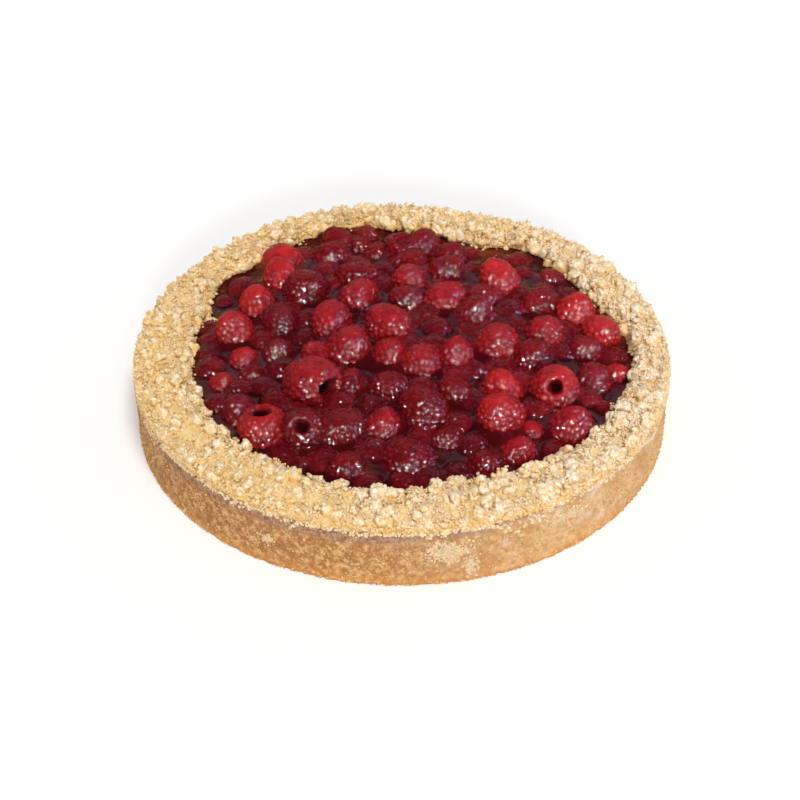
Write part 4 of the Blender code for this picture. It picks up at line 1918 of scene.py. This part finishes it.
@dataclass(frozen=True)
class CaseCrumbs:
    """The crumbs that stick to the case, by where they stick.

    Radii, heights and depths are in millimetres, and unevenness is the range of the crumbs' brightness.
    A wave of the hanging crumbs has its depth and how often it comes round. A tongue has its turn and
    width in degrees and how far it hangs down. A patch has its turn and half its width in degrees, and
    its middle and half its height.
    """

    foot_count: int = 760
    foot_tones: tuple[Colour, Colour] = ((0.46, 0.21, 0.065), (0.80, 0.54, 0.25))
    foot_radius: float = 0.40
    foot_larger: float = 0.95
    foot_seat: float = 0.8
    foot_height: float = 2.0
    rim_count: int = 1700
    rim_radius: float = 0.5
    rim_larger: float = 0.9
    rim_top: float = 1.0
    rim_golden: Colour = (0.84, 0.64, 0.35)
    rim_flour: Colour = (0.06, 0.18, 0.32)
    rim_unevenness: Pair = (0.80, 1.02)
    whitest_turn: float = -0.6
    hang_level: float = 0.4
    hang_waves: tuple[Pair, ...] = ((9.0, 7.0), (4.0, 29.0))
    hang_more: float = 1.4
    hang_least: float = 0.4
    tongues: tuple[tuple[float, float, float], ...] = (
        (292, 3.0, 8.0), (297, 2.5, 5.0), (334, 4.0, 5.0), (262, 2.5, 3.0), (236, 3.0, 3.5),
    )
    patch_count: int = 800
    patch_radii: Pair = (0.4, 0.95)
    patch_spread: float = 0.5
    patch_colour: Colour = (0.82, 0.65, 0.43)
    patch_unevenness: Pair = (0.72, 1.05)
    patches: tuple[tuple[float, float, float, float], ...] = (
        (279, 4.0, 19.0, 6.0), (283.5, 1.5, 9.0, 5.0), (304, 5.0, 22.0, 3.0), (243, 1.5, 15.0, 2.5),
    )
    wall_count: int = 4600
    wall_radii: Pair = (0.3, 0.75)
    wall_colour: Colour = (0.64, 0.41, 0.18)
    wall_unevenness: Pair = (0.80, 1.12)
    wall_ends: Pair = (5.0 * MM, 30.0 * MM)
    wall_patch: float = 11.0 * MM
    wall_patches: float = 7.0
    wall_bare: float = 0.12
    barest_turn: float = 0.5
    wall_scatter: float = 0.15

    def on_foot(self, turn: float, draw: random.Random) -> StuckCrumb:
        """Choose a brown or pale crumb at the foot.

        Args:
            turn: The turn from +X in radians.
            draw: Source of its size, place and colour.

        Returns:
            The crumb.
        """
        radius = (self.foot_radius + self.foot_larger * draw.random() ** 2) * MM
        height = radius * self.foot_seat + draw.random() ** 2 * self.foot_height * MM
        pale = draw.random()
        dark_tone, pale_tone = (np.array(tone) for tone in self.foot_tones)
        return StuckCrumb(turn, height, radius, dark_tone * (1.0 - pale) + pale_tone * pale)

    def hang(self, turn: float) -> float:
        """Work out how far crumbs hang over the rim.

        Args:
            turn: The turn from +X in radians.

        Returns:
            The depth in millimetres.
        """
        way = Vector((math.cos(turn), math.sin(turn), self.hang_level))
        hang = sum(depth * noise.noise(way * rate) for depth, rate in self.hang_waves)
        for place, width, depth in self.tongues:
            hang = max(hang, depth * math.exp(-(((math.degrees(turn) - place) / width) ** 2)))
        return hang

    def on_rim(self, turn: float, draw: random.Random) -> StuckCrumb:
        """Choose a crumb that hangs over the rim, whiter at the right.

        Args:
            turn: The turn from +X in radians.
            draw: Source of its size, place and colour.

        Returns:
            The crumb.
        """
        radius = (self.rim_radius + self.rim_larger * draw.random() ** 1.5) * MM
        fall = draw.random() * max(self.hang(turn) + self.hang_more, self.hang_least)
        height = SIZES.case_height + (self.rim_top - fall) * MM
        white = 0.5 + 0.5 * math.cos(turn - self.whitest_turn)
        colour = np.array(self.rim_golden) + np.array(self.rim_flour) * white * draw.random()
        return StuckCrumb(turn, height, radius, colour * draw.uniform(*self.rim_unevenness))

    def in_patch(self, turn: float, draw: random.Random) -> StuckCrumb:
        """Choose a pale crumb in one of the named patches.

        Args:
            turn: A turn that gives way to the patch's own; not used.
            draw: Source of its size, place and colour.

        Returns:
            The crumb.
        """
        sizes = [patch[1] * patch[3] for patch in self.patches]
        place, width, level, half = draw.choices(self.patches, sizes)[0]
        turn = math.radians(place + width * draw.gauss(0.0, self.patch_spread))
        height = (level + half * draw.gauss(0.0, self.patch_spread)) * MM
        radius = draw.uniform(*self.patch_radii) * MM
        colour = np.array(self.patch_colour) * draw.uniform(*self.patch_unevenness)
        return StuckCrumb(turn, height, radius, colour)

    def on_wall(self, turn: float, draw: random.Random) -> StuckCrumb | None:
        """Choose a tan crumb on the wall, which mostly stays bare at the right.

        Args:
            turn: The turn from +X in radians.
            draw: Source of its size, place and colour.

        Returns:
            The crumb, or none where the wall stays bare.
        """
        radius = draw.uniform(*self.wall_radii) * MM
        lowest, highest = self.wall_ends
        height = highest - draw.random() ** 1.5 * (highest - lowest)
        colour = np.array(self.wall_colour) * draw.uniform(*self.wall_unevenness)
        across, along = self.wall_patches * math.cos(turn), self.wall_patches * math.sin(turn)
        patch = noise.noise(Vector((across, along, height / self.wall_patch)))
        bare = self.wall_bare + self.wall_bare * math.cos(turn - self.barest_turn)
        if patch + draw.uniform(-self.wall_scatter, self.wall_scatter) < bare:
            return None
        return StuckCrumb(turn, height, radius, colour)

    def scattered(self, seed: int) -> Iterator[tuple[StuckCrumb, random.Random]]:
        """Scatter all the crumbs.

        Args:
            seed: Seed of the scatter.

        Returns:
            Each crumb in turn, with the source of its own unevenness.
        """
        draw = random.Random(seed)
        kinds = (
            (self.on_foot, self.foot_count), (self.on_rim, self.rim_count),
            (self.in_patch, self.patch_count), (self.on_wall, self.wall_count),
        )
        for stick, count in kinds:
            for _ in range(count):
                crumb = stick(draw.uniform(0.0, math.tau), draw)
                if crumb is not None:
                    yield crumb, draw


@dataclass
class PastryCase:
    """The shortcrust case, with the crumbs that stick to its side and foot."""

    node: str = "pastry_case"
    slot: str = "baked_shortcrust"
    wall_radius: float = 133.2 * MM
    rim_corner: float = 0.9 * MM
    foot_corner: float = 1.6 * MM
    rim_steps: int = 4
    foot_steps: int = 5
    rows: int = 13
    steps: int = 200
    cuts: int = 3
    dent: float = 17.0 * MM
    dent_depth: float = 0.30 * MM
    bump: float = 3.0 * MM
    bump_height: float = 0.16 * MM
    foot_ridge: float = 0.6 * MM
    foot_ridge_ends: Pair = (0.6 * MM, 3.4 * MM)
    foot_notch: float = 4.0 * MM
    foot_ragged: float = 1.4
    flat_foot: float = 0.3 * MM
    crumb_jitter: Pair = (0.7, 1.15)
    floor_gap: float = 0.05 * MM
    stand_out: float = 0.1 * MM
    clear: float = 0.12 * MM
    seed: int = 3
    stuck: CaseCrumbs = CaseCrumbs()

    def profile(self) -> list[Pair]:
        """Draw the case's outline from its inner floor, over the rim and under its foot.

        Returns:
            Pairs of (radius, height).
        """
        inside = SIZES.case_radius - SIZES.wall
        inner, rim, foot = SIZES.inner_corner, self.rim_corner, self.foot_corner
        wall_top = SIZES.case_height - rim
        drop = SIZES.case_height - (rim + foot)
        points = [(0.0, SIZES.base)]
        points += arc((inside - inner, SIZES.base + inner), inner, -90, 0, self.rim_steps)
        points.append((inside, SIZES.case_height))
        points += arc((self.wall_radius - rim, wall_top), rim, 90, 0, self.rim_steps)
        points += [(self.wall_radius, wall_top - drop * row / self.rows) for row in range(1, self.rows)]
        points += arc((self.wall_radius - foot, foot), foot, 0, -90, self.foot_steps)
        points.append((0.0, 0.0))
        return points

    def swell(self, outer: np.ndarray) -> np.ndarray:
        """Work out how far the crust stands out.

        Args:
            outer: Points of its side and foot.

        Returns:
            One length in metres for each point.
        """
        swell = -self.dent_depth * np.abs(noise_at(outer, self.dent))
        swell += self.bump_height * noise_at(outer, self.bump, 3)
        low = 1.0 - smooth(*self.foot_ridge_ends, outer[:, 2])
        ragged = np.clip(0.5 + self.foot_ragged * noise_at(outer, self.foot_notch, 2), 0.0, 1.0)
        return swell + self.foot_ridge * low * ragged

    def build_case(self) -> bpy.types.Object:
        """Build the case with its uneven side and ragged foot.

        Returns:
            The case.
        """
        bm = spun(self.profile(), self.steps, cuts=self.cuts)
        points = coordinates(bm)
        reach = np.hypot(points[:, 0], points[:, 1])
        side = np.flatnonzero(reach > self.wall_radius - self.foot_corner - self.stand_out)
        outer = points[side]
        keep_flat = smooth(0.0, self.flat_foot, outer[:, 2])
        outer[:, :2] *= (1.0 + self.swell(outer) * keep_flat / reach[side])[:, None]
        points[side] = outer
        move_to(bm, points)
        return piece_from("shortcrust_case", bm)

    def build_crumbs(self) -> bpy.types.Object:
        """Build the crumbs that stick to the case's side, rim and foot.

        Returns:
            One joined object.
        """
        batch = Batch("shortcrust_crumbs")
        ball = Pattern.ball(1)
        for crumb, draw in self.stuck.scattered(self.seed):
            limit = SIZES.case_radius - self.clear - crumb.radius
            reach = min(self.wall_radius + self.stand_out, limit)
            middle = (reach * math.cos(crumb.turn), reach * math.sin(crumb.turn), crumb.height)
            tilt = any_tilt(draw)
            jitter = np.array([draw.uniform(*self.crumb_jitter) for _ in ball.points])
            points = (ball.points * (crumb.radius * jitter)[:, None]) @ tilt.T + np.array(middle)
            points[:, 2] = np.maximum(points[:, 2], self.floor_gap)
            batch.add(points, ball.faces, np.tile(crumb.colour, (len(points), 1)))
        return batch.joined("Bake", False)

    def dress(self) -> None:
        """Build the case's pieces, give them their finish and seat them on the tart."""
        seat_on_tart(self.build_case(), CrustFinish(SIZES.case_height).material(), self.node, self.slot)
        finish = CrumbFinish("shortcrust_crumbs")
        seat_on_tart(self.build_crumbs(), finish.material(), self.node, self.slot)


# Studio


class Job(Enum):
    """What a lamp does: it lights the surfaces, or it only shows in their gloss."""

    LIGHT = "light"
    GLINT = "glint"


@dataclass(frozen=True)
class FarLamp:
    """A lamp so far away that it falls evenly on the whole floor.

    Its turn goes from the front towards the right and its height starts at the horizon. They and how
    wide it looks are in degrees.
    """

    name: str
    job: Job
    turn: float
    height: float
    spread: float
    strength: float
    colour: Colour

    def light(self) -> bpy.types.Light:
        """Make the lamp's light.

        Returns:
            The light.
        """
        light = bpy.data.lights.new(self.name, "SUN")
        light.angle = math.radians(self.spread)
        light.energy = self.strength
        return light

    def place(self) -> Vector:
        """Return where the lamp hangs, 2 m away in its direction."""
        side, up = math.radians(self.turn), math.radians(self.height)
        return Vector((math.sin(side) * math.cos(up), -math.cos(side) * math.cos(up), math.sin(up))) * 2.0


@dataclass(frozen=True)
class WindowLamp:
    """A soft rectangular lamp with its place and size in metres and its strength in watts."""

    name: str
    job: Job
    where: tuple[float, float, float]
    width: float
    height: float
    strength: float
    colour: Colour

    def light(self) -> bpy.types.Light:
        """Make the lamp's light.

        Returns:
            The light.
        """
        light = bpy.data.lights.new(self.name, "AREA")
        light.shape = "RECTANGLE"
        light.size, light.size_y = self.width, self.height
        light.energy = self.strength
        return light

    def place(self) -> Vector:
        """Return where the lamp hangs."""
        return Vector(self.where)


@dataclass
class Studio:
    """The pale floor, the soft lights and the camera at the photograph's angle."""

    floor_size: float = 9.0
    floor_cells: int = 8
    sky: float = 0.37
    sky_in_gloss: float = 0.02
    sky_colour: Colour = (1.0, 0.98, 0.965)
    lit_point: tuple[float, float, float] = (0.0, 0.0, 0.03)
    lamps: tuple[FarLamp | WindowLamp, ...] = (
        FarLamp("front_fill", Job.LIGHT, 6.0, 23.0, 6.0, 0.80, (1.0, 0.98, 0.95)),
        FarLamp("high_key", Job.LIGHT, 20.0, 62.0, 22.0, 2.05, (1.0, 0.99, 0.98)),
        FarLamp("front_glint", Job.GLINT, 4.0, 26.0, 8.0, 14.0, (1.0, 0.94, 0.88)),
        WindowLamp("right_glint", Job.GLINT, (1.0, -0.10, 0.42), 0.10, 0.24, 9.0, (0.62, 0.70, 1.0)),
        WindowLamp("back_veil", Job.GLINT, (0.0, 1.6, 1.1), 3.2, 1.6, 7.5, (0.95, 0.88, 1.0)),
    )
    aim: Vector = field(default_factory=lambda: Vector((-0.83, -22.93, 20.0)) * MM)
    distance: float = 800.0 * MM
    elevation: float = math.radians(37.84)
    lens: float = 72.7
    sensor: float = 36.0
    nearest: float = 10.0 * MM

    def build_floor(self) -> None:
        """Lay the pale floor just under the tart."""
        bm = bmesh.new()
        cells = self.floor_cells
        bmesh.ops.create_grid(bm, x_segments=cells, y_segments=cells, size=self.floor_size)
        floor = piece_from("pale_floor", bm)
        floor.data.materials.append(FloorFinish().material())

    def build_sky(self) -> None:
        """Put an even sky round the tart, which is much dimmer in its gloss."""
        world = bpy.data.worlds.new("studio")
        world.use_nodes = True
        nodes, links = world.node_tree.nodes, world.node_tree.links
        backdrop = nodes["Background"]
        backdrop.inputs["Color"].default_value = (*self.sky_colour, 1.0)
        mirrored = nodes.new("ShaderNodeMapRange")
        mirrored.inputs["To Min"].default_value = self.sky
        mirrored.inputs["To Max"].default_value = self.sky_in_gloss
        rays = nodes.new("ShaderNodeLightPath")
        links.new(rays.outputs["Is Glossy Ray"], mirrored.inputs["Value"])
        links.new(mirrored.outputs["Result"], backdrop.inputs["Strength"])
        bpy.context.scene.world = world

    def hang(self, lamp: FarLamp | WindowLamp) -> None:
        """Hang a lamp so that it points at the tart.

        Args:
            lamp: The lamp.
        """
        light = lamp.light()
        light.color = lamp.colour
        place = lamp.place()
        hung = bpy.data.objects.new(lamp.name, light)
        hung.location = place
        hung.rotation_euler = (Vector(self.lit_point) - place).to_track_quat("-Z", "Y").to_euler()
        hung.visible_glossy = lamp.job is Job.GLINT
        hung.visible_diffuse = lamp.job is Job.LIGHT
        bpy.context.scene.collection.objects.link(hung)

    def build_camera(self) -> None:
        """Set the camera at the photograph's angle."""
        camera = bpy.data.cameras.new("photo_view")
        camera.lens = self.lens
        camera.sensor_width = self.sensor
        camera.clip_start = self.nearest
        back = Vector((0.0, -math.cos(self.elevation), math.sin(self.elevation)))
        holder = bpy.data.objects.new("photo_view", camera)
        holder.location = self.aim + back * self.distance
        holder.rotation_euler = (math.pi / 2.0 - self.elevation, 0.0, 0.0)
        bpy.context.scene.collection.objects.link(holder)
        bpy.context.scene.camera = holder

    def build(self) -> None:
        """Build the whole studio."""
        bpy.context.scene.view_settings.view_transform = "Standard"
        self.build_floor()
        self.build_sky()
        for lamp in self.lamps:
            self.hang(lamp)
        self.build_camera()


def main() -> None:
    """Build the tart's looks and the studio round it."""
    logging.basicConfig(level=logging.INFO, format="%(name)s: %(message)s")
    filling = RaspberryFilling()
    PastryCase().dress()
    filling.dress()
    CrumbleBorder().dress(filling.gel)
    Studio().build()


if __name__ == "__main__":
    main()
